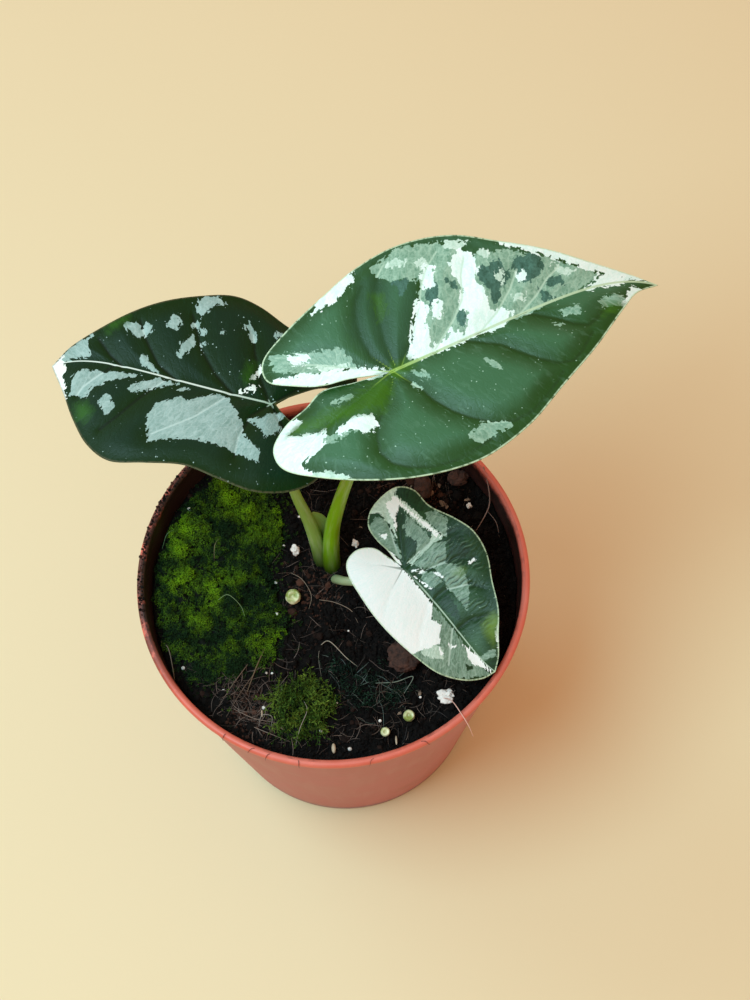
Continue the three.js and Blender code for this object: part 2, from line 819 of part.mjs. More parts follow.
const barkPieces = [
  { x: 16.6, y: -21.4, size: [9, 8, 4.6], turn: 0.5, lumps: 0.1 },
  { x: 25, y: 25.4, size: [8, 4.5, 2.6], turn: 1.9, lumps: 0.12 },
  { x: 34, y: 27.6, size: [6, 4, 2.2], turn: 0.4, lumps: 0.12 },
];
const perlitePieces = [
  { x: 26.6, y: -32, size: [5, 4, 3], turn: 0.3, lumps: 0.16 },
  { x: -9.2, y: 10.8, size: [3.2, 2.6, 2.2], turn: 1.2, lumps: 0.16 },
  { x: 6.2, y: 11.6, size: [1.9, 2.8, 1.8], turn: 0.2, lumps: 0.14 },
  { x: 36.4, y: 20, size: [1.8, 1.6, 1.4], turn: 2.1, lumps: 0.14 },
];
const feedBeads = [
  { x: -10.6, y: -2.4, size: [4, 4, 3.8], lumps: 0.02 },
  { x: 16.8, y: -36.1, size: [3, 3, 2.8], lumps: 0.02 },
  { x: 10.6, y: -40, size: [2.4, 2.4, 2.2], lumps: 0.02 },
];
barkPieces.forEach((piece, i) => addPart(`bark_chip_${i + 1}`, grainGeometry(piece), '#5a3a28', 0.9));
perlitePieces.forEach((piece, i) => addPart(`perlite_${i + 1}`, grainGeometry(piece), '#e8e2d8', 0.9));
feedBeads.forEach((piece, i) => addPart(`feed_bead_${i + 1}`, grainGeometry(piece), '#c9d08a', 0.5));

export default plant;
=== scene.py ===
# A potted frydek alocasia in a plastic nursery pot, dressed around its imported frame.
# The scene is in metres. Sizes in the dictionaries are millimetres unless they say otherwise.

import math
import random

import bmesh
import bpy
import numpy as np
from mathutils import Matrix, Vector, noise
from mathutils.bvhtree import BVHTree


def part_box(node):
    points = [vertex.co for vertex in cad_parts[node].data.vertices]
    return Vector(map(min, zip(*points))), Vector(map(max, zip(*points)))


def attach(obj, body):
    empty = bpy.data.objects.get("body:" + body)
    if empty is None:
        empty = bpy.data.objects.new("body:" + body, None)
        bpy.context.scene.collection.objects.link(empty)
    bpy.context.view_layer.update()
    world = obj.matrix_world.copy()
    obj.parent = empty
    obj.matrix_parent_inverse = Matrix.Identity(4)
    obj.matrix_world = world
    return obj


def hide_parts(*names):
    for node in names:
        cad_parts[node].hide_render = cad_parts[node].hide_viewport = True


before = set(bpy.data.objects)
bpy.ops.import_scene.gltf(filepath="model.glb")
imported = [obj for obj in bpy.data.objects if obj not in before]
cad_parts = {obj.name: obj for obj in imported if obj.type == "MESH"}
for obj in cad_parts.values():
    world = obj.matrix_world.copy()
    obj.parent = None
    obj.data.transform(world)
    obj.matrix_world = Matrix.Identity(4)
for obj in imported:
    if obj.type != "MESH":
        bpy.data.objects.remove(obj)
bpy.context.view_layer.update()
mm = 0.001
print("frame loaded:", len(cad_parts), "nodes")


# Shared helpers

def linearColour(hexValue):
    channels = [int(hexValue[i:i + 2], 16) / 255 for i in (1, 3, 5)]
    linear = [c / 12.92 if c <= 0.04045 else ((c + 0.055) / 1.055) ** 2.4 for c in channels]
    return (*linear, 1.0)


def addNode(tree, kind, settings=None, inputs=None):
    # An input is a value, a colour in hex, a socket, or a node, which stands for its first live output
    node = tree.nodes.new(kind)
    for name, value in (settings or {}).items():
        setattr(node, name, value)
    for name, value in (inputs or {}).items():
        if isinstance(value, bpy.types.Node):
            value = next(socket for socket in value.outputs if socket.enabled)
        if isinstance(value, bpy.types.NodeSocket):
            tree.links.new(value, node.inputs[name])
        elif isinstance(value, str) and value.startswith("#"):
            node.inputs[name].default_value = linearColour(value)
        else:
            node.inputs[name].default_value = value
    return node


mixColour = ("ShaderNodeMix", {"data_type": "RGBA"})  # inputs: 0 amount, 6 under, 7 over
mapRange = ("ShaderNodeMapRange", {})  # inputs: 0 value, 1 and 2 from, 3 and 4 to
add = ("ShaderNodeMath", {"operation": "ADD"})
times = ("ShaderNodeMath", {"operation": "MULTIPLY"})
timesPlus = ("ShaderNodeMath", {"operation": "MULTIPLY_ADD"})
noiseTexture = ("ShaderNodeTexNoise", {})


def newMaterial(name):
    material = bpy.data.materials.new(name)
    material.use_nodes = True
    material.node_tree.nodes.clear()
    return material, material.node_tree


def layered(tree, colour, layers):
    # Colours laid over each other in turn, each with its amount
    for amount, over in layers:
        colour = addNode(tree, *mixColour, {0: amount, 6: colour, 7: over})
    return colour


def finished(material, surface, relief=None):
    # A relief is a height from 0 to 1, its strength and its depth in millimetres
    tree = material.node_tree
    if relief:
        height, strength, depth = relief
        surface["Normal"] = addNode(tree, "ShaderNodeBump", {}, {
            "Height": height, "Strength": strength, "Distance": depth * mm})
    shader = addNode(tree, "ShaderNodeBsdfPrincipled", {}, surface)
    addNode(tree, "ShaderNodeOutputMaterial", {}, {"Surface": shader})
    return material


def linked(name, data):
    # A new object for a mesh, lamp or camera, put in the scene
    piece = bpy.data.objects.new(name, data)
    bpy.context.scene.collection.objects.link(piece)
    return piece


def fromPoints(name, points, faces, values=None):
    # The values are numbers, places or colours, one for each point
    mesh = bpy.data.meshes.new(name)
    mesh.from_pydata([tuple(p) for p in points], [], [tuple(f) for f in faces])
    kinds = {1: ("FLOAT", "value"), 3: ("FLOAT_VECTOR", "vector"), 4: ("FLOAT_COLOR", "color")}
    for key, data in (values or {}).items():
        data = np.asarray(data, np.float32)
        kind, field = kinds[data.size // len(points)]
        mesh.attributes.new(key, kind, "POINT").data.foreach_set(field, data.ravel())
    return linked(name, mesh)


def fromWork(name, work):
    # A piece from a mesh that bmesh has built
    mesh = bpy.data.meshes.new(name)
    work.to_mesh(mesh)
    work.free()
    return linked(name, mesh)


def coated(piece, material, smooth=True):
    piece.data.polygons.foreach_set("use_smooth", [smooth] * len(piece.data.polygons))
    piece.data.materials.append(material)
    return piece


def bands(steps, sides):
    # The quads between rings of points that follow each other
    faces = []
    for ring in range(steps):
        low, high = ring * sides, (ring + 1) * sides
        for k in range(sides):
            after = (k + 1) % sides
            faces.append((low + k, low + after, high + after, high + k))
    return faces


def ends(steps, sides):
    # The two flat faces that close a row of rings
    return [tuple(range(sides))[::-1], tuple(steps * sides + k for k in range(sides))]


def builtMesh(piece):
    # The mesh as its modifiers leave it
    graph = bpy.context.evaluated_depsgraph_get()
    return bpy.data.meshes.new_from_object(piece.evaluated_get(graph), depsgraph=graph)


def closeSeams(piece, distance=2e-6):
    work = bmesh.new()
    work.from_mesh(piece.data)
    bmesh.ops.remove_doubles(work, verts=work.verts, dist=distance)
    bmesh.ops.dissolve_degenerate(work, edges=work.edges, dist=distance / 2)
    bmesh.ops.recalc_face_normals(work, faces=work.faces)
    work.to_mesh(piece.data)
    work.free()


def dressed(piece, slot, *nodes):
    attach(piece, "root")
    if nodes:
        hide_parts(*nodes)
    return piece


def smoothStep(low, high, value):
    part = np.clip((value - low) / (high - low), 0, 1)
    return part * part * (3 - 2 * part)


def roughness(points, size, octaves=3):
    return np.array([noise.fractal(Vector(p) / size, 1.0, 2.0, octaves) for p in points])


# Camera, light and floor

view = {
    "place": (12.0, -204.3, 612.5),
    "elevation": 66.65,  # degrees below the horizon that the camera looks
    "roll": -3.92,
    "focalPixels": 2200,
    "longSide": 1000,
    "near": 10,
    "far": 20000,
}


def makeCamera():
    camera = bpy.data.cameras.new("camera")
    camera.sensor_width = 36
    camera.lens = view["focalPixels"] * camera.sensor_width / view["longSide"]
    camera.clip_start, camera.clip_end = view["near"] * mm, view["far"] * mm
    stand = linked("camera", camera)
    tilt = math.radians(view["elevation"])
    forward = Vector((0, math.cos(tilt), -math.sin(tilt)))
    right = Matrix.Rotation(math.radians(view["roll"]), 3, -forward) @ Vector((1, 0, 0))
    up = right.cross(forward)
    turn = Matrix((right, up, -forward)).transposed().to_4x4()
    stand.matrix_world = Matrix.Translation(Vector(view["place"]) * mm) @ turn
    bpy.context.scene.camera = stand


lights = {
    "key": {"from": (-240, -120, 660), "size": 350, "watts": 4.3, "colour": "#aad7e6"},
    "window": {"from": (-520, 420, 620), "size": 500, "watts": 2.0, "colour": "#aad7e6"},
    "room": {"colour": "#ffc9a5", "strength": 0.72},
}


def makeLights():
    target = Vector((0, 0, 70)) * mm
    for name in ("key", "window"):
        look = lights[name]
        lamp = bpy.data.lights.new(name, "AREA")
        lamp.shape = "DISK"
        lamp.size = look["size"] * mm
        lamp.energy = look["watts"]
        lamp.color = linearColour(look["colour"])[:3]
        stand = linked(name, lamp)
        stand.location = Vector(look["from"]) * mm
        stand.rotation_euler = (target - stand.location).to_track_quat("-Z", "Y").to_euler()
    world = bpy.data.worlds.new("studio")
    world.use_nodes = True
    background = world.node_tree.nodes["Background"]
    background.inputs["Color"].default_value = linearColour(lights["room"]["colour"])
    background.inputs["Strength"].default_value = lights["room"]["strength"]
    bpy.context.scene.world = world
    bpy.context.scene.view_settings.view_transform = "Standard"


floorLook = {"half": 3000, "mottle": 250, "colours": ("#e4d9b1", "#e9deb8")}


def makeFloor():
    # Painted board: even, warm and pale, with a faint mottle
    material, tree = newMaterial("paintedBoard")
    place = addNode(tree, "ShaderNodeTexCoord").outputs["Object"]
    mottle = addNode(tree, *noiseTexture, {
        "Vector": place, "Scale": 1 / (floorLook["mottle"] * mm), "Detail": 3.0})
    low, high = floorLook["colours"]
    tone = addNode(tree, *mixColour, {0: mottle, 6: low, 7: high})
    finished(material, {"Base Color": tone, "Roughness": 0.75})
    half = floorLook["half"] * mm
    corners = [(-half, -half, 0), (half, -half, 0), (half, half, 0), (-half, half, 0)]
    floor = coated(fromPoints("floor", corners, [(0, 1, 2, 3)]), material)


makeCamera()
makeLights()
makeFloor()
print("stage ready")


# Scattering: small shapes set over a ground mesh by Geometry Nodes. A look gives the pieces for each
# square millimetre, their sizes and lift in millimetres, and their tilt in radians.

def scatterTree(name):
    tree = bpy.data.node_groups.new(name, "GeometryNodeTree")
    face = tree.interface
    face.new_socket("Ground", in_out="INPUT", socket_type="NodeSocketGeometry")
    face.new_socket("Shapes", in_out="INPUT", socket_type="NodeSocketCollection")
    for label in ("Density", "Smallest", "Largest", "Favour small", "Tilt", "Lift"):
        face.new_socket(label, in_out="INPUT", socket_type="NodeSocketFloat")
    face.new_socket("Seed", in_out="INPUT", socket_type="NodeSocketInt")
    face.new_socket("Material", in_out="INPUT", socket_type="NodeSocketMaterial")
    face.new_socket("Result", in_out="OUTPUT", socket_type="NodeSocketGeometry")
    given = addNode(tree, "NodeGroupInput").outputs
    cover = addNode(tree, "GeometryNodeInputNamedAttribute", {"data_type": "FLOAT"}, {"Name": "cover"})
    dense = addNode(tree, *times, {0: given["Density"], 1: cover})
    points = addNode(tree, "GeometryNodeDistributePointsOnFaces", {"distribute_method": "RANDOM"}, {
        "Mesh": given["Ground"], "Density": dense, "Seed": given["Seed"]})
    lift = addNode(tree, "ShaderNodeVectorMath", {"operation": "SCALE"}, {
        0: points.outputs["Normal"], "Scale": given["Lift"]})
    raised = addNode(tree, "GeometryNodeSetPosition", {}, {"Geometry": points, "Offset": lift})
    lean = addNode(tree, *times, {0: given["Tilt"], 1: -1.0})
    low = addNode(tree, "ShaderNodeCombineXYZ", {}, {0: lean, 1: lean, 2: 0.0})
    high = addNode(tree, "ShaderNodeCombineXYZ", {}, {0: given["Tilt"], 1: given["Tilt"], 2: math.tau})
    turn = addNode(tree, "FunctionNodeRandomValue", {"data_type": "FLOAT_VECTOR"}, {
        0: low, 1: high, "Seed": given["Seed"]})
    toTurn = addNode(tree, "FunctionNodeEulerToRotation", {}, {"Euler": turn})
    facing = addNode(tree, "FunctionNodeRotateRotation", {"rotation_space": "LOCAL"}, {
        "Rotation": points.outputs["Rotation"], "Rotate By": toTurn})
    draw = addNode(tree, "FunctionNodeRandomValue", {"data_type": "FLOAT"}, {2: 0.0, 3: 1.0, "Seed": 7})
    skewed = addNode(tree, "ShaderNodeMath", {"operation": "POWER"}, {0: draw, 1: given["Favour small"]})
    size = addNode(tree, *mapRange, {0: skewed, 3: given["Smallest"], 4: given["Largest"]})
    shapes = addNode(tree, "GeometryNodeCollectionInfo", {}, {
        "Collection": given["Shapes"], "Separate Children": True, "Reset Children": True})
    placed = addNode(tree, "GeometryNodeInstanceOnPoints", {}, {
        "Points": raised, "Instance": shapes, "Pick Instance": True, "Rotation": facing, "Scale": size})
    tint = addNode(tree, "FunctionNodeRandomValue", {"data_type": "FLOAT"}, {2: 0.0, 3: 1.0, "Seed": 3})
    toned = addNode(tree, "GeometryNodeStoreNamedAttribute", {"data_type": "FLOAT", "domain": "INSTANCE"}, {
        "Geometry": placed, "Name": "tone", "Value": tint})
    real = addNode(tree, "GeometryNodeRealizeInstances", {}, {"Geometry": toned})
    painted = addNode(tree, "GeometryNodeSetMaterial", {}, {"Geometry": real, "Material": given["Material"]})
    addNode(tree, "NodeGroupOutput", {}, {"Result": painted})
    return tree


scatterNodes = scatterTree("scatterOverGround")


def scattered(name, ground, shapes, material, look, slot):
    box = bpy.data.collections.new(name + "Shapes")
    bpy.context.scene.collection.children.link(box)
    for shape in shapes:
        bpy.context.scene.collection.objects.unlink(shape)
        box.objects.link(shape)
    modifier = ground.modifiers.new(name, "NODES")
    modifier.node_group = scatterNodes
    units = {"Density": 1e6, "Smallest": mm, "Largest": mm, "Lift": mm}
    wanted = {key: value * units.get(key, 1) for key, value in look.items()}
    wanted.update({"Shapes": box, "Material": material})
    for socket in scatterNodes.interface.items_tree:
        if socket.in_out == "INPUT" and socket.name in wanted:
            modifier[socket.identifier] = wanted[socket.name]
    bpy.context.view_layer.update()
    mesh = builtMesh(ground)
    ground.modifiers.remove(modifier)
    for shape in shapes:
        bpy.data.objects.remove(shape)
    bpy.data.collections.remove(box)
    mesh.name = name
    print(name, len(mesh.polygons), "faces")
    return dressed(linked(name, mesh), slot)


# Pot

potSizes = {
    "height": 92.0, "rimRadius": 50.0, "rimWidth": 2.0, "rimDepth": 2.2, "footRadius": 35.5,
    "wall": 1.1, "channelDepth": 3.0, "padRadius": 12.0, "footEdge": 0.8, "footRing": 4.0,
    "drainHoles": 6, "drainRadius": 3.0, "drainCircle": 22.0, "facets": 240,
    "rimStep": 0.9, "rounding": 0.45, "threeLobes": 0.12, "fiveLobes": 0.08,
}
wallTop = potSizes["height"] - potSizes["rimDepth"]
wallTopRadius = potSizes["rimRadius"] - potSizes["rimStep"]
wallSlope = (wallTopRadius - potSizes["footRadius"]) / (wallTop - potSizes["footEdge"])
floorTop = potSizes["channelDepth"] + potSizes["wall"]


def outerWall(z):
    return potSizes["footRadius"] + wallSlope * (z - potSizes["footEdge"])


def innerWall(z):
    return outerWall(z) - potSizes["wall"]


def rounded(corners, radius, steps):
    # Each inner corner of an open [radius, height] profile becomes a short arc
    line = [np.array(corners[0], float)]
    for before, corner, after in zip(corners, corners[1:], corners[2:]):
        before, corner, after = (np.array(p, float) for p in (before, corner, after))
        reach = min(radius, *(0.45 * np.linalg.norm(p - corner) for p in (before, after)))
        start = corner + (before - corner) / np.linalg.norm(before - corner) * reach
        end = corner + (after - corner) / np.linalg.norm(after - corner) * reach
        for i in range(steps + 1):
            t = i / steps
            line.append((1 - t) ** 2 * start + 2 * t * (1 - t) * corner + t ** 2 * end)
    line.append(np.array(corners[-1], float))
    return line


def divided(line, longest):
    result = [line[0]]
    for start, end in zip(line, line[1:]):
        parts = max(1, math.ceil(np.linalg.norm(end - start) / longest))
        result += [start + (end - start) * (i + 1) / parts for i in range(parts)]
    return result


def makePotPlastic():
    # Injection-moulded polypropylene: an even, faintly glossy terracotta colour. Handling and watering
    # leave the wall dusty. The foot is grey-purple, a painted contact shadow; the rim band is a brighter
    # red, a painted highlight, with its dust a paler pink. Wet peat clings on the rim where the pot was
    # filled, and the inside wall is painted peat-dark, partly peat smears and partly painted shade.
    material, tree = newMaterial("mouldedPolypropylene")
    place = addNode(tree, "ShaderNodeTexCoord").outputs["Object"]
    x, y, height = addNode(tree, "ShaderNodeSeparateXYZ", {}, {0: place}).outputs
    patches = addNode(tree, *noiseTexture, {"Vector": place, "Scale": 1 / (14.3 * mm), "Detail": 5.0})
    tall = addNode(tree, "ShaderNodeMapping", {}, {"Vector": place, "Scale": (1, 1, 0.06)})
    streaks = addNode(tree, *noiseTexture, {"Vector": tall, "Scale": 1 / (3.85 * mm), "Detail": 2.0})
    smears = addNode(tree, *noiseTexture, {
        "Vector": place, "Scale": 1 / (4.17 * mm), "Detail": 6.0, "Roughness": 0.7})
    dust = addNode(tree, *mapRange, {0: patches, 1: 0.4, 2: 0.7})
    runs = addNode(tree, *mapRange, {0: streaks, 1: 0.5, 2: 0.75, 4: 0.16})
    # Grey-purple at the foot: a painted contact shadow
    footContactShade = addNode(tree, *mapRange, {0: height, 1: 6 * mm, 2: 0.5 * mm, 4: 0.8})
    # The rim band is painted a brighter red, a painted highlight, with its dust a paler pink
    rim = addNode(tree, *mapRange, {0: height, 1: (wallTop - 0.6) * mm, 2: (wallTop + 0.2) * mm})
    rimDustAndHighlight = addNode(tree, *times, {0: rim, 1: addNode(tree, *times, {0: dust, 1: 0.35})})

    # The inside wall is painted peat-dark below the top: partly peat smears, partly painted shade
    level = addNode(tree, "ShaderNodeCombineXYZ", {}, {0: x, 1: y})
    radius = addNode(tree, "ShaderNodeVectorMath", {"operation": "LENGTH"}, {0: level}).outputs["Value"]
    middleAtFloor = potSizes["footRadius"] - wallSlope * potSizes["footEdge"] - potSizes["wall"] / 2
    wallMiddle = addNode(tree, *timesPlus, {0: height, 1: wallSlope, 2: middleAtFloor * mm})
    inside = addNode(tree, "ShaderNodeMath", {"operation": "LESS_THAN"}, {0: radius, 1: wallMiddle})
    drift = addNode(tree, *timesPlus, {0: smears, 1: 9 * mm, 2: height})
    wet = addNode(tree, *mapRange, {0: drift, 1: 96.5 * mm, 2: 93.5 * mm, 3: 0.15, 4: 0.94})
    peatAndShadeInside = addNode(tree, *times, {0: inside, 1: wet})
    across = addNode(tree, *times, {0: y, 1: 0.34})
    fillSide = addNode(tree, *timesPlus, {0: x, 1: -0.94, 2: across})
    filled = addNode(tree, *mapRange, {0: fillSide, 1: 26 * mm, 2: 42 * mm, 3: 0.12})
    blotches = addNode(tree, *mapRange, {0: smears, 1: 0.34, 2: 0.5, 4: 0.88})
    above = addNode(tree, *mapRange, {0: height, 1: 84 * mm, 2: 90 * mm})
    peatOnRim = addNode(tree, *times, {0: filled, 1: addNode(tree, *times, {0: blotches, 1: above})})
    peatAndInnerShade = addNode(tree, "ShaderNodeMath", {"operation": "ADD", "use_clamp": True}, {
        0: peatAndShadeInside, 1: peatOnRim})

    colour = layered(tree, "#aa4f4a", [
        (dust, "#ba7071"), (runs, "#c38e8c"), (footContactShade, "#71606e"), (rim, "#dc6a56"), (rimDustAndHighlight, "#e39384"),
        (peatAndInnerShade, "#24130e")])
    gloss = addNode(tree, *mapRange, {0: dust, 3: 0.42, 4: 0.6})
    return finished(material, {"Base Color": colour, "Roughness": gloss, "IOR": 1.49}, (smears, 0.25, 0.15))


def makePot():
    sizes = potSizes
    height, rimRadius, foot = sizes["height"], sizes["rimRadius"], sizes["footRadius"]
    ringInside = foot - sizes["footRing"]
    corners = [
        (0, 0), (sizes["padRadius"], 0), (sizes["padRadius"] + 1.5, sizes["channelDepth"]),
        (ringInside - 1.5, sizes["channelDepth"]), (ringInside, 0), (foot - 0.5, 0),
        (foot, sizes["footEdge"]),
        (wallTopRadius, wallTop), (rimRadius - 0.3, wallTop + 0.2), (rimRadius, wallTop + 0.7),
        (rimRadius, height - 0.5), (rimRadius - 0.5, height), (rimRadius - sizes["rimWidth"] + 0.5, height),
        (rimRadius - sizes["rimWidth"], height - 0.5), (innerWall(wallTop), wallTop),
        (innerWall(floorTop + 2), floorTop + 2), (innerWall(floorTop) - 1.5, floorTop),
        (sizes["padRadius"] + 0.9, floorTop), (sizes["padRadius"] - 0.6, sizes["wall"]), (0, sizes["wall"]),
    ]
    profile = divided(rounded(corners, sizes["rounding"], 3), 4.0)
    points = []
    for r, z in profile:
        for k in range(sizes["facets"]):
            angle = math.tau * k / sizes["facets"]
            # The thin wall is never perfectly round, most of all between foot and rim
            uneven = sizes["threeLobes"] * math.sin(3 * angle + 0.7)
            uneven += sizes["fiveLobes"] * math.sin(5 * angle + z / 30)
            reach = max(r + uneven * min(r / 40, 1) * math.sin(math.pi * min(z / height, 1)), 0)
            points.append((reach * math.cos(angle) * mm, reach * math.sin(angle) * mm, z * mm))
    pot = coated(fromPoints("nurseryPot", points, bands(len(profile) - 1, sizes["facets"])), makePotPlastic())
    closeSeams(pot)
    drill = bmesh.new()
    for i in range(sizes["drainHoles"]):
        angle = (i + 0.5) / sizes["drainHoles"] * math.tau
        across, back = sizes["drainCircle"] * math.cos(angle), sizes["drainCircle"] * math.sin(angle)
        place = Matrix.Translation(Vector((across, back, floorTop)) * mm)
        radius = sizes["drainRadius"] * mm
        bmesh.ops.create_cone(drill, cap_ends=True, segments=32, radius1=radius, radius2=radius,
                              depth=10 * mm, matrix=place)
    drills = fromWork("drills", drill)
    cut = pot.modifiers.new("drain holes", "BOOLEAN")
    cut.operation = "DIFFERENCE"
    cut.object = drills
    drilled = builtMesh(pot)
    pot.modifiers.clear()
    pot.data = drilled
    bpy.data.objects.remove(drills)
    return dressed(pot, "pot_plastic", "pot")


makePot()
print("pot made")


# Ground

soilLevel = potSizes["height"] - 8
crown = (-0.5, 5.2)
soilLook = {
    "rings": 88, "spokes": 264, "gap": 0.3, "crownRadius": 5.6, "stillMargin": 7,
    "clodRise": 1.3, "clodSize": 6.0, "crumbRise": 0.5, "crumbSize": 1.6,
    "crownRise": 1.2, "crownSpread": 7.0, "highest": 3.0,
}
mossMat = {
    "x": -29, "y": 4, "thickness": 2.4,
    "radii": [12, 14, 20, 26, 28.4, 27.5, 24, 19.5, 17.3, 16.7,
              16.4, 17.5, 19.7, 23.4, 27, 27, 25, 24, 20, 14],
}
mossTuft = {"x": -10, "y": -32, "radius": 7.8, "height": 4.2}


def mossReach(angle):
    radii = np.array(mossMat["radii"], float)
    place = (angle / math.tau % 1) * len(radii)
    before = np.floor(place).astype(int) % len(radii)
    blend = place - np.floor(place)
    eased = blend * blend * (3 - 2 * blend)
    return radii[before] + (radii[(before + 1) % len(radii)] - radii[before]) * eased


def tuftReach(angle):
    return mossTuft["radius"] * (1 + 0.08 * np.sin(3 * angle + 0.6) + 0.05 * np.sin(5 * angle))


def outside(moss, reach, x, y):
    dx, dy = x - moss["x"], y - moss["y"]
    return np.hypot(dx, dy) - reach(np.arctan2(dy, dx))


def fromMoss(x, y):
    return np.minimum(outside(mossMat, mossReach, x, y), outside(mossTuft, tuftReach, x, y))


def fromCrown(x, y):
    return np.hypot(x - crown[0], y - crown[1])


def clearOfWall(x, y, z, near, far):
    # 0 nearer to the pot's wall than near and on the soil's hidden sides, 1 from far inward
    return smoothStep(near, far, innerWall(soilLevel) - np.hypot(x, y)) * (z > soilLevel - 3)


def soilRelief(x, y):
    return (0.8 * np.sin(0.21 * x + 1.3) * np.cos(0.17 * y - 0.4) + 0.5 * np.sin(0.43 * x + 0.33 * y)
            + 0.3 * np.sin(0.71 * y - 0.52 * x + 2))


def soilHeight(x, y):
    away = np.minimum(fromMoss(x, y), fromCrown(x, y) - soilLook["crownRadius"])
    margin = soilLook["stillMargin"]
    return soilLevel + soilRelief(x, y) * smoothStep(margin, margin + 5, away)


def makePeat():
    # Damp sphagnum peat: nearly black crumb, with rusty lumps by the stems that have begun to dry
    material, tree = newMaterial("dampPeatCrumb")
    place = addNode(tree, "ShaderNodeTexCoord").outputs["Object"]
    tone = addNode(tree, "ShaderNodeAttribute", {"attribute_name": "tone"}).outputs["Fac"]
    rusty = addNode(tree, "ShaderNodeAttribute", {"attribute_name": "rusty"}).outputs["Fac"]
    clods = addNode(tree, *noiseTexture, {"Vector": place, "Scale": 1 / (11.1 * mm), "Detail": 4.0})
    grains = addNode(tree, *noiseTexture, {
        "Vector": place, "Scale": 1 / (0.714 * mm), "Detail": 3.0, "Roughness": 0.7})
    dryness = addNode(tree, *timesPlus, {0: rusty, 1: 0.6, 2: tone})
    dried = addNode(tree, *mapRange, {0: dryness, 1: 0.9, 2: 1.35})
    flecks = addNode(tree, *mapRange, {0: grains, 1: 0.52, 2: 0.8, 4: 0.3})
    colour = layered(tree, "#030202", [(clods, "#0d0a08"), (dried, "#4f3227"), (flecks, "#33231c")])
    return finished(material, {
        "Base Color": colour, "Roughness": 0.85, "Specular IOR Level": 0.15}, (grains, 0.8, 0.4))


rustySpots = [(-5, 0, 7.5), (-22, -33, 7), (22, 24, 9)]  # where the peat has dried: x, y, radius


def spotsAt(x, y, spots):
    return sum(np.exp(-((x - sx) ** 2 + (y - sy) ** 2) / radius ** 2) for sx, sy, radius in spots)


def makeSoil(peat):
    rings, spokes, gap = soilLook["rings"], soilLook["spokes"], soilLook["gap"]
    edge = innerWall(soilLevel) - gap
    radius = np.repeat(np.arange(1, rings + 1) / rings * edge, spokes)
    angle = np.tile(np.arange(spokes) / spokes * math.tau, rings)
    x, y = radius * np.cos(angle), radius * np.sin(angle)
    x, y = np.append(x, 0), np.append(y, 0)
    flat = np.stack([x, y, np.zeros_like(x)], 1)
    bare = np.clip(fromMoss(x, y) / 3, 0, 1)
    rise = soilLook["clodRise"] * roughness(flat, soilLook["clodSize"], 4)
    rise += soilLook["crumbRise"] * roughness(flat + 40, soilLook["crumbSize"], 2)
    z = soilHeight(x, y) + rise * (0.15 + 0.85 * bare)
    z += soilLook["crownRise"] * np.exp(-(fromCrown(x, y) / soilLook["crownSpread"]) ** 2)
    z = np.minimum(z, soilLevel + soilLook["highest"])
    onRing = np.arange(len(x)) >= (rings - 1) * spokes
    onRing[-1] = False
    fit = np.where(onRing, (outerWall(z) - potSizes["wall"] - gap) / edge, 1.0)
    points = np.stack([x * fit, y * fit, z], 1)
    centre = len(points) - 1
    faces = []
    for k in range(spokes):
        after = (k + 1) % spokes
        faces.append((centre, k, after))
        for ring in range(rings - 1):
            a, b = ring * spokes, (ring + 1) * spokes
            faces.append((a + k, b + k, b + after, a + after))
    low = floorTop + gap
    sides = [(innerWall(low + 2) - gap, low + 2), (innerWall(low) - gap - 1.5, low),
             (potSizes["padRadius"] + 0.9, low), (potSizes["padRadius"] - 1, potSizes["wall"] + gap)]
    turnAngle = np.arange(spokes) / spokes * math.tau
    previous = (rings - 1) * spokes
    for r, level in sides:
        start = len(points)
        ring = np.stack([r * np.cos(turnAngle), r * np.sin(turnAngle), np.full(spokes, level)], 1)
        points = np.vstack([points, ring])
        for k in range(spokes):
            after = (k + 1) % spokes
            faces.append((previous + k, start + k, start + after, previous + after))
        previous = start
    bottom = len(points)
    points = np.vstack([points, [[0, 0, potSizes["wall"] + gap]]])
    for k in range(spokes):
        faces.append((bottom, previous + (k + 1) % spokes, previous + k))
    cover = np.zeros(len(points))
    stemsClear = np.clip((fromCrown(x, y) - 1.5) / 1.5, 0, 1)
    cover[:len(x)] = bare * stemsClear * smoothStep(0, 1.2, edge - np.append(radius, 0))
    tone = np.full(len(points), 0.3)
    rusty = np.clip(spotsAt(points[:, 0], points[:, 1], rustySpots), 0, 1)
    soil = fromPoints("pottingSoil", points * mm, faces, {"cover": cover, "tone": tone, "rusty": rusty})
    return dressed(coated(soil, peat), "peat", "soil")


def chip(name, seed):
    # The smallest crumb: eight uneven faces, one unit across
    dice = random.Random(seed)
    points = []
    for axis in range(3):
        for way in (-0.5, 0.5):
            corner = [0.22 * (dice.random() - 0.5) for _ in range(3)]
            corner[axis] = way * (0.6 + 0.4 * dice.random())
            points.append(corner)
    shape = fromPoints(name, points, [(a, b, c) for a in (0, 1) for b in (2, 3) for c in (4, 5)])
    closeSeams(shape, 1e-4)
    return shape


def lump(name, seed, level=1, rough=0.35):
    # A rough polyhedron of one unit across, for one crumb
    dice = random.Random(seed)
    work = bmesh.new()
    bmesh.ops.create_icosphere(work, subdivisions=level, radius=0.5)
    stretch = Vector((1, 0.7 + 0.3 * dice.random(), 0.75 * (0.7 + 0.3 * dice.random())))
    for vertex in work.verts:
        swell = 1 + rough * (dice.random() - 0.5)
        vertex.co = Vector(a * b for a, b in zip(vertex.co, stretch)) * swell
    return fromWork(name, work)


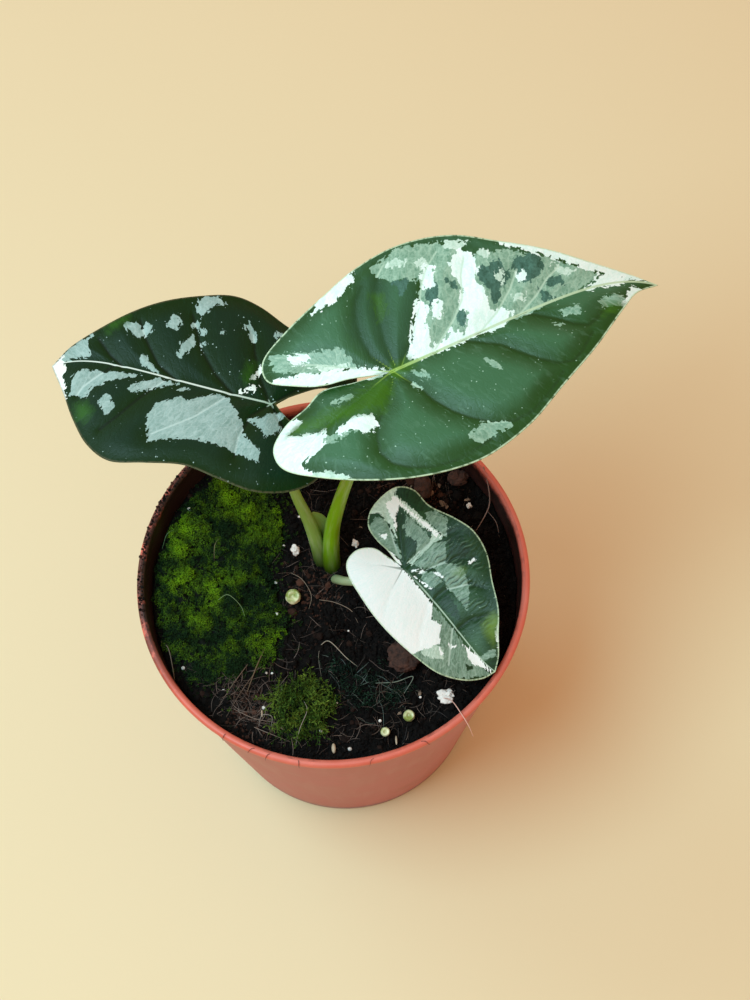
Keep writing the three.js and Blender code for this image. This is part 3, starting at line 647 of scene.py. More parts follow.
def strand(name, seed, bend, thickness, steps=6, sides=3):
    # A thin bent fibre of one unit length lying along X
    dice = random.Random(seed)
    points = []
    phase, twist = dice.random() * 6, dice.random() * 6
    for i in range(steps + 1):
        t = i / steps
        centre = Vector((t - 0.5, bend * math.sin(2.5 * t + phase), 0.35 * bend * math.sin(4 * t + twist)))
        r = thickness * (1 - 0.6 * abs(2 * t - 1) ** 3)
        for k in range(sides):
            angle = math.tau * k / sides
            points.append(centre + Vector((0, math.cos(angle), math.sin(angle))) * r)
    return fromPoints(name, points, bands(steps, sides) + ends(steps, sides))


def makeFibreMaterial():
    # Dead root hairs and sedge fibre in the peat: dry, dull, dark brown to straw
    material, tree = newMaterial("dryPeatFibre")
    tone = addNode(tree, "ShaderNodeAttribute", {"attribute_name": "tone"}).outputs["Fac"]
    tint = addNode(tree, *mixColour, {0: tone, 6: "#1a110d", 7: "#7d695e"})
    return finished(material, {"Base Color": tint, "Roughness": 0.7})


chipLook = {"Density": 2.4, "Smallest": 0.35, "Largest": 1.5, "Favour small": 1.8, "Tilt": 0.9,
            "Lift": 0.1, "Seed": 2}
crumbLook = {"Density": 0.5, "Smallest": 0.7, "Largest": 2.2, "Favour small": 2.6, "Tilt": 0.6,
             "Lift": 0.2, "Seed": 4}
clodLook = {"Density": 0.02, "Smallest": 1.6, "Largest": 3.2, "Favour small": 2.0, "Tilt": 0.5,
            "Lift": 0.3, "Seed": 9}
fibreLook = {"Density": 0.17, "Smallest": 1.2, "Largest": 6.0, "Favour small": 1.8, "Tilt": 0.25,
             "Lift": 0.9, "Seed": 12}


def setCover(ground, values):
    ground.data.attributes["cover"].data.foreach_set("value", np.asarray(values, np.float32))


def placesOf(ground):
    flat = np.empty(3 * len(ground.data.vertices), np.float32)
    ground.data.vertices.foreach_get("co", flat)
    return flat.reshape(-1, 3).astype(float) / mm


def makeGround():
    peat = makePeat()
    soil = makeSoil(peat)
    chips = [chip(f"chip{i}", 70 + i) for i in range(6)]
    scattered("peatChips", soil, chips, peat, chipLook, "peat")
    crumbs = [lump(f"crumb{i}", i) for i in range(6)]
    scattered("peatCrumbs", soil, crumbs, peat, crumbLook, "peat")
    clods = [lump(f"clod{i}", 20 + i, level=2, rough=0.4) for i in range(5)]
    scattered("peatClods", soil, clods, peat, clodLook, "peat")
    x, y, z = placesOf(soil).T
    bare = np.clip(fromMoss(x, y) / 3, 0, 1) * clearOfWall(x, y, z, 3.5, 6)
    setCover(soil, bare * (0.5 + np.clip(spotsAt(x, y, rustySpots), 0, 1)))
    fibres = [strand(f"fibre{i}", i, 0.1 + 0.08 * (i % 4), 0.011) for i in range(8)]
    scattered("peatFibres", soil, fibres, makeFibreMaterial(), fibreLook, "peat")
    return soil


soilPiece = makeGround()
print("ground made")


# Moss

def makeMossMaterial(name, dark, bright, paintedShade):
    # Living moss: each shoot is a star of pointed leaves, bright where it is fresh; the feet of the
    # shoots and the gaps between cushions are painted near-black, a painted shade
    material, tree = newMaterial(name)
    place = addNode(tree, "ShaderNodeTexCoord").outputs["Object"]
    tone, tip, fresh = (addNode(tree, "ShaderNodeAttribute", {"attribute_name": key}).outputs["Fac"]
                        for key in ("tone", "tip", "fresh"))
    cushions = addNode(tree, *noiseTexture, {"Vector": place, "Scale": 1 / (5.26 * mm), "Detail": 3.0})
    settled = addNode(tree, *timesPlus, {0: tone, 1: 0.4, 2: addNode(tree, *add, {0: fresh, 1: -0.95})})
    freshness = addNode(tree, *timesPlus, {0: cushions, 1: 1.5, 2: settled})
    vigour = addNode(tree, *mapRange, {0: freshness})
    leaf = addNode(tree, *mixColour, {0: vigour, 6: dark, 7: bright})
    # Low on each shoot and in the gaps the colour turns to the painted shade
    height = addNode(tree, *mapRange, {0: tip, 1: 0.1, 2: 0.85})
    tint = addNode(tree, *mixColour, {0: height, 6: paintedShade, 7: leaf})
    return finished(material, {"Base Color": tint, "Roughness": 0.7, "Specular IOR Level": 0.12})


def mossShoot(name, seed, leaves=7, reach=0.5, rise=0.55):
    # A star of narrow leaves on a short stalk, one unit across; "tip" runs from the foot to the points
    dice = random.Random(seed)
    points, faces, tips = [], [], []
    for i in range(leaves):
        angle = math.tau * (i + 0.5 * dice.random()) / leaves
        lean = 0.55 + 0.45 * dice.random()
        out = Vector((math.cos(angle), math.sin(angle), 0))
        side = Vector((-out.y, out.x, 0)) * 0.09
        foot = out * 0.03
        middle = out * reach * 0.5 * lean + Vector((0, 0, rise * (0.7 + 0.3 * dice.random())))
        end = out * reach * lean + Vector((0, 0, rise * (0.55 + 0.75 * dice.random())))
        start = len(points)
        points += [foot, middle + side, end, middle - side]
        tips += [0.0, 0.7, 1.0, 0.7]
        faces += [(start, start + 1, start + 3), (start + 1, start + 2, start + 3)]
    return fromPoints(name, points, faces, {"tip": tips})


def mossStem(name, seed, leaves=9):
    # A trailing stem one unit long with small leaves along it, for the loose tuft
    dice = random.Random(seed)
    points, tips = [], []
    bend, turn = 0.5 + 0.5 * dice.random(), dice.random() * math.tau

    def centreAt(t):
        across = bend * t * t * 0.6
        return Vector((math.cos(turn) * across, math.sin(turn) * across, t * (1 - 0.35 * t)))

    steps, sides = 5, 3
    for i in range(steps + 1):
        t = i / steps
        for k in range(sides):
            angle = math.tau * k / sides
            points.append(centreAt(t) + Vector((math.cos(angle), math.sin(angle), 0)) * 0.025 * (1 - 0.7 * t))
            tips.append(0.4 + 0.6 * t)
    faces = bands(steps, sides)
    for i in range(leaves):
        t = (i + 1) / leaves
        angle = i * 2.4 + dice.random()
        out = Vector((math.cos(angle), math.sin(angle), 0.5)).normalized()
        side = Vector((-math.sin(angle), math.cos(angle), 0)) * 0.035
        start = len(points)
        middle = centreAt(t) + out * 0.09
        points += [centreAt(t), middle + side, centreAt(t) + out * 0.2, middle - side]
        tips += [0.4, 0.8, 1.0, 0.8]
        faces.append((start, start + 1, start + 2, start + 3))
    return fromPoints(name, points, faces, {"tip": tips})


# Where the moss is fresh or darker: x, y, radius. The darker spots are partly dull moss and partly
# painted shade, most of all along the pot's left wall
freshSpots = [(-37.5, 12.5, 5), (-37, 1.5, 5.5), (-25, 27, 5), (-36, -3.5, 5), (-17, 22, 4.5),
              (-15, -13, 3.6), (-32, 10, 3.5), (-11.5, 21, 4), (-20, -14, 3), (-37, 20, 3.5), (-33, 1, 3)]
dullAndShadedSpots = [(-36, -26, 9), (-28, 17, 3), (-21, -3, 5), (-15, 7, 3.5), (-44.5, 9, 3.5), (-44.5, 2, 3.5),
             (-44.5, -5, 3.5), (-37.5, 26, 3.5), (-24, 9, 3.5), (-40, -12, 3.5), (-19, 4.5, 3),
             (-28, -6, 3.5), (-26, -17.5, 4), (-15, -19.5, 3.5), (-25, -9, 3)]


def freshAt(x, y):
    bright, dull = (np.clip(spotsAt(x, y, spots), 0, 1) for spots in (freshSpots, dullAndShadedSpots))
    # The darker spots are partly dull moss and partly painted shade
    fresh = 0.32 + 0.62 * bright - 0.55 * dull
    return np.clip(fresh, 0, 1)


def mossLumps(x, y):
    return 0.5 * np.sin(0.62 * x + 0.4) * np.sin(0.55 * y + 1.1) + 0.25 * np.sin(1.1 * x + 0.9 * y)


def mound(name, centre, reach, rise, rings, spokes, material, cushions):
    # A closed low mound whose top is raised into small cushions, with the gaps between them
    # painted dark, a painted shade
    radius = np.repeat(np.arange(1, rings + 1) / rings, spokes)
    angle = np.tile(np.arange(spokes) / spokes * math.tau, rings)
    ragged = 1 + 0.035 * np.sin(17 * angle + 1) + 0.03 * np.sin(29 * angle) + 0.03 * np.sin(11 * angle + 2)
    out = np.append(radius, 0)
    x = np.append(radius * reach(angle) * ragged * np.cos(angle), 0) + centre[0]
    y = np.append(radius * reach(angle) * ragged * np.sin(angle), 0) + centre[1]
    base = soilLevel + soilLook["gap"]
    drift = 0.9 * np.stack([np.sin(0.9 * y), np.sin(0.8 * x + 1), np.zeros_like(x)], 1)
    flat = np.stack([x, y, np.zeros_like(x)], 1) + drift
    puffs = np.array([noise.voronoi(Vector(p) / cushions["size"])[0][0] for p in flat])
    small = np.array([noise.voronoi(Vector(p) / (0.36 * cushions["size"]))[0][0] for p in flat])
    puffs = 0.75 * puffs + 0.25 * small
    fade = 1 - out ** 6
    top = base + rise(out, x, y) + cushions["height"] * (0.42 - puffs) * fade
    top = np.clip(top, base + 0.15, base + 4.5)
    count = len(x)
    points = np.vstack([np.stack([x, y, top], 1), np.stack([x, y, np.full(count, base - 0.4)], 1)])
    faces = []
    for k in range(spokes):
        after = (k + 1) % spokes
        faces.append((count - 1, k, after))
        faces.append((2 * count - 1, count + after, count + k))
        for ring in range(rings - 1):
            a, b = ring * spokes, (ring + 1) * spokes
            faces.append((a + k, b + k, b + after, a + after))
            faces.append((count + a + after, count + b + after, count + b + k, count + a + k))
        last = (rings - 1) * spokes
        faces.append((last + k, count + last + k, count + last + after, last + after))
    standing = smoothStep(0.66, 0.28, puffs)
    cover = np.append((0.5 + 0.5 * standing) * (out < 0.995), np.zeros(count))
    # In the gaps between cushions tip and freshness are low, giving them the painted shade
    tips = np.append(0.3 * standing, np.zeros(count))
    fresh = np.tile(freshAt(x, y) * (0.25 + 0.75 * standing), 2)
    values = {"cover": cover, "tip": tips, "fresh": fresh, "tone": np.full(2 * count, 0.4)}
    return coated(fromPoints(name, points * mm, faces, values), material)


cushionLook = {"size": 5.2, "height": 4.4}
shootLook = {"Density": 5.2, "Smallest": 0.9, "Largest": 1.9, "Favour small": 1.0, "Tilt": 0.5,
             "Lift": -0.1, "Seed": 21}
strayLook = {"Density": 2.2, "Smallest": 0.8, "Largest": 1.8, "Favour small": 1.4, "Tilt": 0.6,
             "Lift": 0.3, "Seed": 25}
tuftLook = {"Density": 3.2, "Smallest": 2.4, "Largest": 6.5, "Favour small": 1.4, "Tilt": 1.35,
            "Lift": 0.1, "Seed": 31}
creepLook = {"Density": 1.3, "Smallest": 2.0, "Largest": 5.0, "Favour small": 1.5, "Tilt": 1.4,
             "Lift": 0.5, "Seed": 36}
creepSpots = [(2, -27, 4), (8, -28, 4.5), (14, -29.5, 3.5), (-1, -22, 3)]


def makeMoss():
    living = makeMossMaterial("livingCushionMoss", "#142c12", "#76a410", "#050a03")
    thickness, height = mossMat["thickness"], mossTuft["height"]

    def matRise(out, x, y):
        return 0.4 + (thickness - 0.4 + mossLumps(x, y)) * (1 - out ** 4)

    def tuftRise(out, x, y):
        return 0.3 + (height * 0.3 + 0.5 * mossLumps(1.6 * x, 1.6 * y)) * (1 - out ** 2)

    mat = mound("mossMat", (mossMat["x"], mossMat["y"]), mossReach, matRise, 60, 180, living, cushionLook)
    dressed(mat, "moss", "moss_mat")
    shoots = [mossShoot(f"shoot{i}", i, leaves=6 + i % 3) for i in range(6)]
    scattered("mossShoots", mat, shoots, living, shootLook, "moss")
    x, y, z = placesOf(soilPiece).T
    clear = clearOfWall(x, y, z, 0.5, 2) * smoothStep(3.5, 6, fromCrown(x, y))
    beside = outside(mossMat, mossReach, x, y)
    setCover(soilPiece, clear * np.exp(-np.clip(beside, 0, None) / 1.6) * (beside > -1))
    strays = [mossShoot(f"stray{i}", 12 + i, leaves=5) for i in range(4)]
    scattered("mossStrays", soilPiece, strays, living, strayLook, "moss")
    loose = makeMossMaterial("looseTrailingMoss", "#2e4a14", "#8fa83c", "#070b04")
    tuft = mound("mossTuft", (mossTuft["x"], mossTuft["y"]), tuftReach, tuftRise, 18, 54, loose,
                 {"size": 3.5, "height": 1.2})
    dressed(tuft, "moss", "moss_tuft")
    stems = [mossStem(f"trail{i}", 50 + i) for i in range(6)]
    scattered("mossTrails", tuft, stems, loose, tuftLook, "moss")
    wetMoss = makeMossMaterial("wetCreepingMoss", "#10241a", "#3f6a4e", "#050a07")
    setCover(soilPiece, np.clip(spotsAt(x, y, creepSpots), 0, 1) * clear)
    creepers = [mossStem(f"creeper{i}", 80 + i, leaves=7) for i in range(5)]
    scattered("mossCreepers", soilPiece, creepers, wetMoss, creepLook, "moss")
    return mat, tuft


mossPieces = makeMoss()
print("moss made")


# Blades: u runs along the midrib to the tip, v across it and w up out of the blade, in millimetres.
# Outlines go from the notch between the lobes, round the lobe and along the side to the tip, and
# lobeStart, lobeEnd and shoulder are places in that list. Heading, pitch and roll are degrees.

bladeA = {
    "name": "bladeA", "node": "blade_a", "slot": "leaf_green",
    "attach": (17.6, 20.7, 164), "heading": 19, "pitch": 5, "roll": 2, "length": 66.2,
    "lobeLength": 34, "droop": 11, "lobeDroop": 4.5, "fold": 0.2, "cup": 0.0055, "twist": 0,
    "swing": 4.06, "hook": -5.86, "quilt": 1.3, "wrinkles": 0.0,
    "steps": {"lobe": 60, "lobeTip": 36, "side": 190, "rows": 44},
    "halves": [
        {"outline": [(-2, 0.3), (-9, 2.1), (-16, 3.4), (-22, 6.6), (-26.6, 10.6), (-25.6, 15.6),
                     (-18, 19.4), (-7, 23.4), (2, 26.8), (11, 28.5), (19, 27.8), (27, 25), (35, 19.9),
                     (45, 13.9), (54, 7.4), (61, 2.4), (66.2, -1.8)],
         "lobeStart": 3, "lobeEnd": 5, "shoulder": 9, "rib": (-17, 10), "sinusLift": 1.1,
         "wave": 0.5, "waves": 3, "smooth": 0.5},
        {"outline": [(-2, 0.3), (-9, 1.4), (-16, 2.8), (-21, 1), (-27, -0.6), (-31.6, -4.6),
                     (-31.2, -10.4), (-25, -16.2), (-16, -21.9), (-6, -26.1), (4, -28.1), (13, -28),
                     (24, -24.9), (34, -19.6), (45, -13.5), (55, -6.4), (60.4, -2.7), (66.2, -1.8)],
         "lobeStart": 4, "lobeEnd": 6, "shoulder": 11, "rib": (-23, -7), "sinusLift": -0.7,
         "wave": 0.6, "waves": 2.5},
    ],
    "veins": [
        [(0, -1.5), (-3.5, -7), (-7, -10), (-9, -13.5), (-10, -17.5), (-8.5, -21), (-5.5, -23.5), (-1, -25.5),
         (4, -26.3), (9, -26), (14, -25)],
        [(0.5, 0), (4.5, -7), (6, -11), (9, -15.5), (12, -18.5), (16, -21.5), (20.5, -23), (25.5, -22.5),
         (30.5, -20), (35.5, -16.5)],
        [(18, 0.3), (25.5, -4.5), (28.5, -8), (32, -11.5), (35.5, -14), (39, -14.8), (42, -13), (46, -9.5)],
        [(34, 0.8), (39.5, -3), (43, -6), (46, -7.5), (48.5, -6.5), (52, -4.5)],
        [(0, 1), (-2.5, 5), (-3, 9.5), (-2.5, 14), (-1, 18.5), (2, 22)],
        [(1.5, 1), (1.5, 6.5), (2.5, 13), (4, 18.5), (6.5, 23), (9.5, 25.5)],
        [(3, 0.5), (8.5, 6.5), (12, 11.5), (14.5, 16), (17.5, 20), (21.5, 23)],
        [(11, 0.5), (18, 5.5), (22, 9.5), (24, 15), (26.5, 19)],
        [(22, 0.3), (28, 3.5), (33, 7.5), (36.5, 11.5)],
        [(32, 0.8), (38, 4), (42, 7), (46, 9)],
    ],
    "markings": {
        "deep": [
            [(5, 25), (8, 21), (14, 19), (12.5, 13), (9.5, 8.5), (5, 1.5), (2, 0.5), (-2.5, 4),
             (-5.5, 10.5), (-5, 14), (1, 22.5)],
            [(1, 26.5), (9.5, 28.5), (14, 29.5), (26.5, 25.5), (38.5, 16.5), (42.5, 11), (41, 8),
             (38.5, 10), (36, 15), (32, 17), (27.5, 22), (17.5, 27.2), (9, 27), (1.5, 25)],
        ],
        "silver": [
            [(5, 25), (13.5, 27.5), (22.5, 25), (28, 18.5), (36, 16.5), (43, 12.5), (50, 7.5), (54, 4),
             (46, 2), (38.5, 1.2), (24, 0), (11.5, 0.5), (7.5, 1), (9, 6.5), (13, 13), (14.5, 18),
             (8.5, 20.5)],
            [(-23.5, 15.5), (-14.5, 11.5), (-9, 10), (-6, 4), (-17, 7), (-24.5, 12)],
            [(-22.5, -8), (-17, -9), (-11, -10.5), (-17.5, -10.5), (-21, -10)],
            [(10, -24), (10, -22.5), (13.5, -20.5), (19.5, -23.5), (13, -24.5)],
            [(21, -7), (23, -9.5), (23, -11.5), (21, -9.5)],
            [(4.5, -2.5), (7, -3.5), (7, -6.5), (5.5, -4.5)],
            [(3.5, -5), (4.5, -7), (3.5, -8)],
            [(41.5, -2), (46, -2), (45, -4), (41.5, -3.5)],
            [(38, -4.5), (40.5, -5), (39.5, -6)],
            [(51, -2.5), (57, -2.5), (57, -4.5), (51.5, -4.5)],
            [(-15, -1.5), (-10.5, -1.5), (-14, -2.5)],
        ],
        "islands": [
            [(14.5, 13.5), (17, 16), (18.5, 15), (16, 10.5), (14.5, 10.5)],
            [(20.5, 15), (23, 14.5), (22, 11.5), (20.5, 13)],
            [(19, 6.5), (21.5, 7.5), (20, 2.5), (18.5, 3.5)],
            [(28, 14.5), (33.5, 15), (34, 10), (31, 8), (27.5, 4.5), (28.5, 8.5), (27, 12)],
            [(37, 14), (41.5, 14), (42.5, 10.5), (41, 8), (36, 7.5), (35.5, 12)],
            [(42, 7.5), (45.5, 7), (45, 4.5), (41, 5)],
            [(39, 6), (40.5, 4), (41.5, 1.5), (39, 2)],
            [(9, 19.5), (12, 19), (11.5, 16.5), (9, 16)],
        ],
        "frost": [
            [(-26.5, -14), (-20, -18), (-18, -20.5), (-22, -18.5), (-26.5, -15.5)],
            [(9, 24.5), (12, 25.5), (14, 23.5), (12, 22)],
            [(29.5, 19), (33, 18.5), (31, 16.5)],
            [(30.5, 12), (33, 12.5), (33, 9.5), (31, 9.5)],
            [(24, 24.5), (29, 22), (27, 21), (23.5, 22.5)],
            [(33, 6), (36, 5.5), (35, 3.5), (32, 4)],
            [(44.5, 10), (49, 7), (46.5, 6), (44, 8)],
            [(15.5, 22), (18, 22.5), (18.5, 20), (16.5, 20)],
            [(-17, 9), (-10, 6.5), (-8, 5.5), (-14, 6)],
        ],
        "white": [
            [(23.5, 19.5), (26.5, 20.5), (28.5, 18.5), (28, 15), (25.5, 12.5), (27.5, 9.5), (26.5, 4.5),
             (31, 2.5), (28, 0), (17.5, 0), (20, 2.5), (22.5, 5.5), (21, 7.5), (23, 11.5), (22.5, 17)],
            [(15.5, 18), (18, 17.5), (17, 15), (15, 15.5)],
            [(12.5, 13), (13.5, 11.5), (13, 9), (11.5, 7.5), (11.5, 3), (9, 1), (5.5, 1.2), (7.5, 5),
             (9.5, 8.5)],
            [(5.5, 1), (15, 1.5), (16.5, 3.5), (19, 1), (18.5, 0), (7.5, 0.4)],
            [(15.5, 11), (17, 10), (15, 7.5), (14.5, 8)],
            [(17.5, 20.5), (19, 19.5), (17, 18.5)],
            [(36, 10.5), (37.5, 10.5), (37, 8.5), (36, 9)],
            [(35, 20), (42.5, 16), (49.5, 11), (57.5, 5), (64, 1.2), (63.5, 0.5), (57, 3), (49, 9),
             (44, 13), (37.5, 17.5)],
            [(54.5, 4), (61, 1.5), (57, 1), (50, 1.5)],
            [(1, 28), (1, 24.5), (-4.5, 21.5), (-10.5, 20.5), (-9, 22.5), (-1.5, 26.5)],
            [(-25, 9.5), (-17, 7), (-6, 3.5), (0, 0), (-2.5, 0.5), (-12, 3), (-20, 5), (-24, 7.5)],
            [(-19.5, 13), (-16, 11.5), (-17, 10.5), (-19.5, 11.5)],
            [(-33, -6.5), (-28, -1), (-24, -0.5), (-23.5, -2), (-28, -3.5), (-25.5, -5.5), (-19.5, -6.5),
             (-20, -8), (-22.5, -8.5), (-20.5, -10), (-27, -11.5), (-26.5, -15), (-31, -14), (-33.5, -10)],
            [(-17, -8.5), (-12, -7.5), (-8, -9), (-8.5, -11.5), (-11.5, -11), (-10, -10), (-16, -9.5)],
            [(60, -1), (61, -2), (56, -5.5), (57, -4)],
        ],
        "lime": [
            [(-1.5, 0.5), (1, 1.5), (5, 1), (6, -0.5), (2, -2), (-0.5, -2)],
            [(-2.5, 0), (-1, -1.5), (-2, -5), (-5, -8.5), (-12, -6.5), (-20.5, -6), (-27.5, -3.5),
             (-25, -2.5), (-12, -2.5)],
            [(3.5, 18.5), (5.5, 18), (4.5, 13.5), (2.5, 12.5)],
            [(52, -3.5), (56, -5), (54, -6.5), (50.5, -6)],
        ],
    },
}

bladeB = {
    "name": "bladeB", "node": "blade_b", "slot": "leaf_dark",
    "attach": (-11, 24.5, 144), "heading": 167, "pitch": 11, "roll": 7, "length": 52.3,
    "lobeLength": 24, "droop": 4.5, "lobeDroop": 3.5, "fold": 0.17, "cup": 0.005, "twist": 0.004,
    "swing": -4.9, "hook": 5.1, "quilt": 0.7, "wrinkles": 0.0,
    "steps": {"lobe": 48, "lobeTip": 32, "side": 160, "rows": 40},
    "halves": [
        {"outline": [(-0.8, -0.4), (-5, -3.4), (-10.5, -6.8), (-16, -8.6), (-19.2, -11.4), (-17.6, -15.4),
                     (-10, -18.8), (-1, -21.5), (7, -25), (14, -25.9), (22, -23.4), (30, -20), (37, -15.7),
                     (43.6, -10.3), (49, -5.1), (52.3, 0.2)],
         "lobeStart": 3, "lobeEnd": 5, "shoulder": 8, "rib": (-12, -11.5), "sinusLift": 0.4,
         "wave": 0.5, "waves": 2},
        {"outline": [(-0.8, -0.4), (-4, 2.8), (-9, 6.2), (-13.2, 9.4), (-15, 13.4), (-13.4, 18),
                     (-8, 22.3), (0, 24.5), (9, 23), (17, 21.3), (26, 22), (34, 22.4), (40, 18.9),
                     (44.6, 13), (48.4, 6.4), (52.3, 0.2)],
         "lobeStart": 3, "lobeEnd": 5, "shoulder": 8, "rib": (-9, 13.5), "sinusLift": 0,
         "wave": 0.7, "waves": 2},
    ],
    "veins": [
        [(-0.5, -0.5), (4, 4.5), (6, 11.5), (6, 17)],
        [(10, 0), (13.5, 4), (17, 8), (21, 11), (26, 14.5)],
        [(25.5, -0.5), (30.5, 5.5), (34.5, 11), (38, 15)],
        [(38, -2), (41, 1), (44, 4.5), (45, 7)],
        [(0.5, -0.5), (3.5, -5.5), (6, -11.5), (7.5, -17)],
        [(9.5, -0.5), (14.5, -4.5), (19, -10), (22.5, -18)],
        [(23, -1), (28, -4), (32, -9.5), (34.5, -14)],
        [(36, -2), (39.5, -4.5), (43, -8)],
    ],
    "markings": {
        "silver": [
            [(51, -1.5), (49.5, -4.5), (44.5, -9), (44, -8.5), (45.5, -7), (44, -3.5), (47.5, -2.5),
             (50, -1)],
            [(38.5, -12.5), (35.5, -13), (33.5, -12), (33, -13.5), (31.5, -13), (31.5, -11.5), (34, -9),
             (37, -11)],
            [(28, -14.5), (27, -16.5), (24.5, -15.5), (25.5, -13), (28, -13.5)],
            [(22, -20.5), (21.5, -23), (17.5, -24.5), (15, -23), (17.5, -22), (20.5, -18), (21.5, -19)],
            [(22.5, -15.5), (20.5, -17.5), (20.5, -15.5), (22, -14.5)],
            [(24, -9.5), (21.5, -13), (20.5, -11), (21.5, -8.5), (23, -6.5), (24, -7)],
            [(20, -14.5), (18.5, -14.5), (19, -13.3), (19.8, -13.5)],
            [(19, -11), (18, -12), (17, -11.5), (18, -10.5)],
            [(10, -18.5), (9, -19.5), (7, -17.5), (6.5, -15), (7.5, -15), (8.5, -17)],
            [(32.5, -4.5), (32, -6), (28.5, -2.5), (27.5, -2), (31.5, -3)],
            [(3, -17.5), (2, -19), (0.5, -19), (1.5, -17)],
            [(15.5, -15), (14.5, -15.5), (14.3, -14.2), (15, -14.5)],
            [(47, 3), (45.5, 0.5), (39, 0), (31.5, -0.5), (36, 1.5), (42, 4.5), (42.5, 6), (43, 7.5),
             (46.5, 7)],
            [(34, 4), (28, -0.5), (22.5, 0), (29, 3), (33, 4.5)],
            [(39.5, 8.5), (38, 6.5), (35.5, 9), (37, 11.5), (38.5, 10)],
            [(26.5, 17), (26.5, 15), (28, 11), (26, 6.5), (21.5, 4), (19, 4.5), (14, 1), (10.5, 1),
             (7, 5.5), (4.5, 11), (0.5, 14.5), (0.5, 17.5), (8.5, 15), (15, 14.5), (22.5, 15.5)],
            [(4.5, 6), (0.5, 4), (-2.5, 2), (-3.5, 2.5), (-2.5, 5.5), (-3.5, 6.5), (-2, 9), (0, 10.5),
             (2, 7.5)],
            [(22, 2), (20, 0.5), (19.5, 1)],
        ],
        "white": [
            [(52.5, 0), (50.5, -2.5), (49.5, -0.5), (49, 2.5), (47.5, 8), (47.5, 10), (49, 6.5), (51.5, 3)],
            [(6, -5), (4, -9), (3.5, -8.5), (4.5, -5.5)],
            [(8, -1), (6.5, -3), (3.5, -3.5), (4.5, -2)],
        ],
        "lime": [
            [(45, 9.5), (42.5, 9), (40.5, 11), (41.5, 13.5), (43.5, 13)],
            [(42, -12), (37.5, -15), (37.5, -13), (41, -10)],
            [(8, -5.5), (7, -9), (5.5, -9), (5.5, -5), (7, -3)],
        ],
    },
}

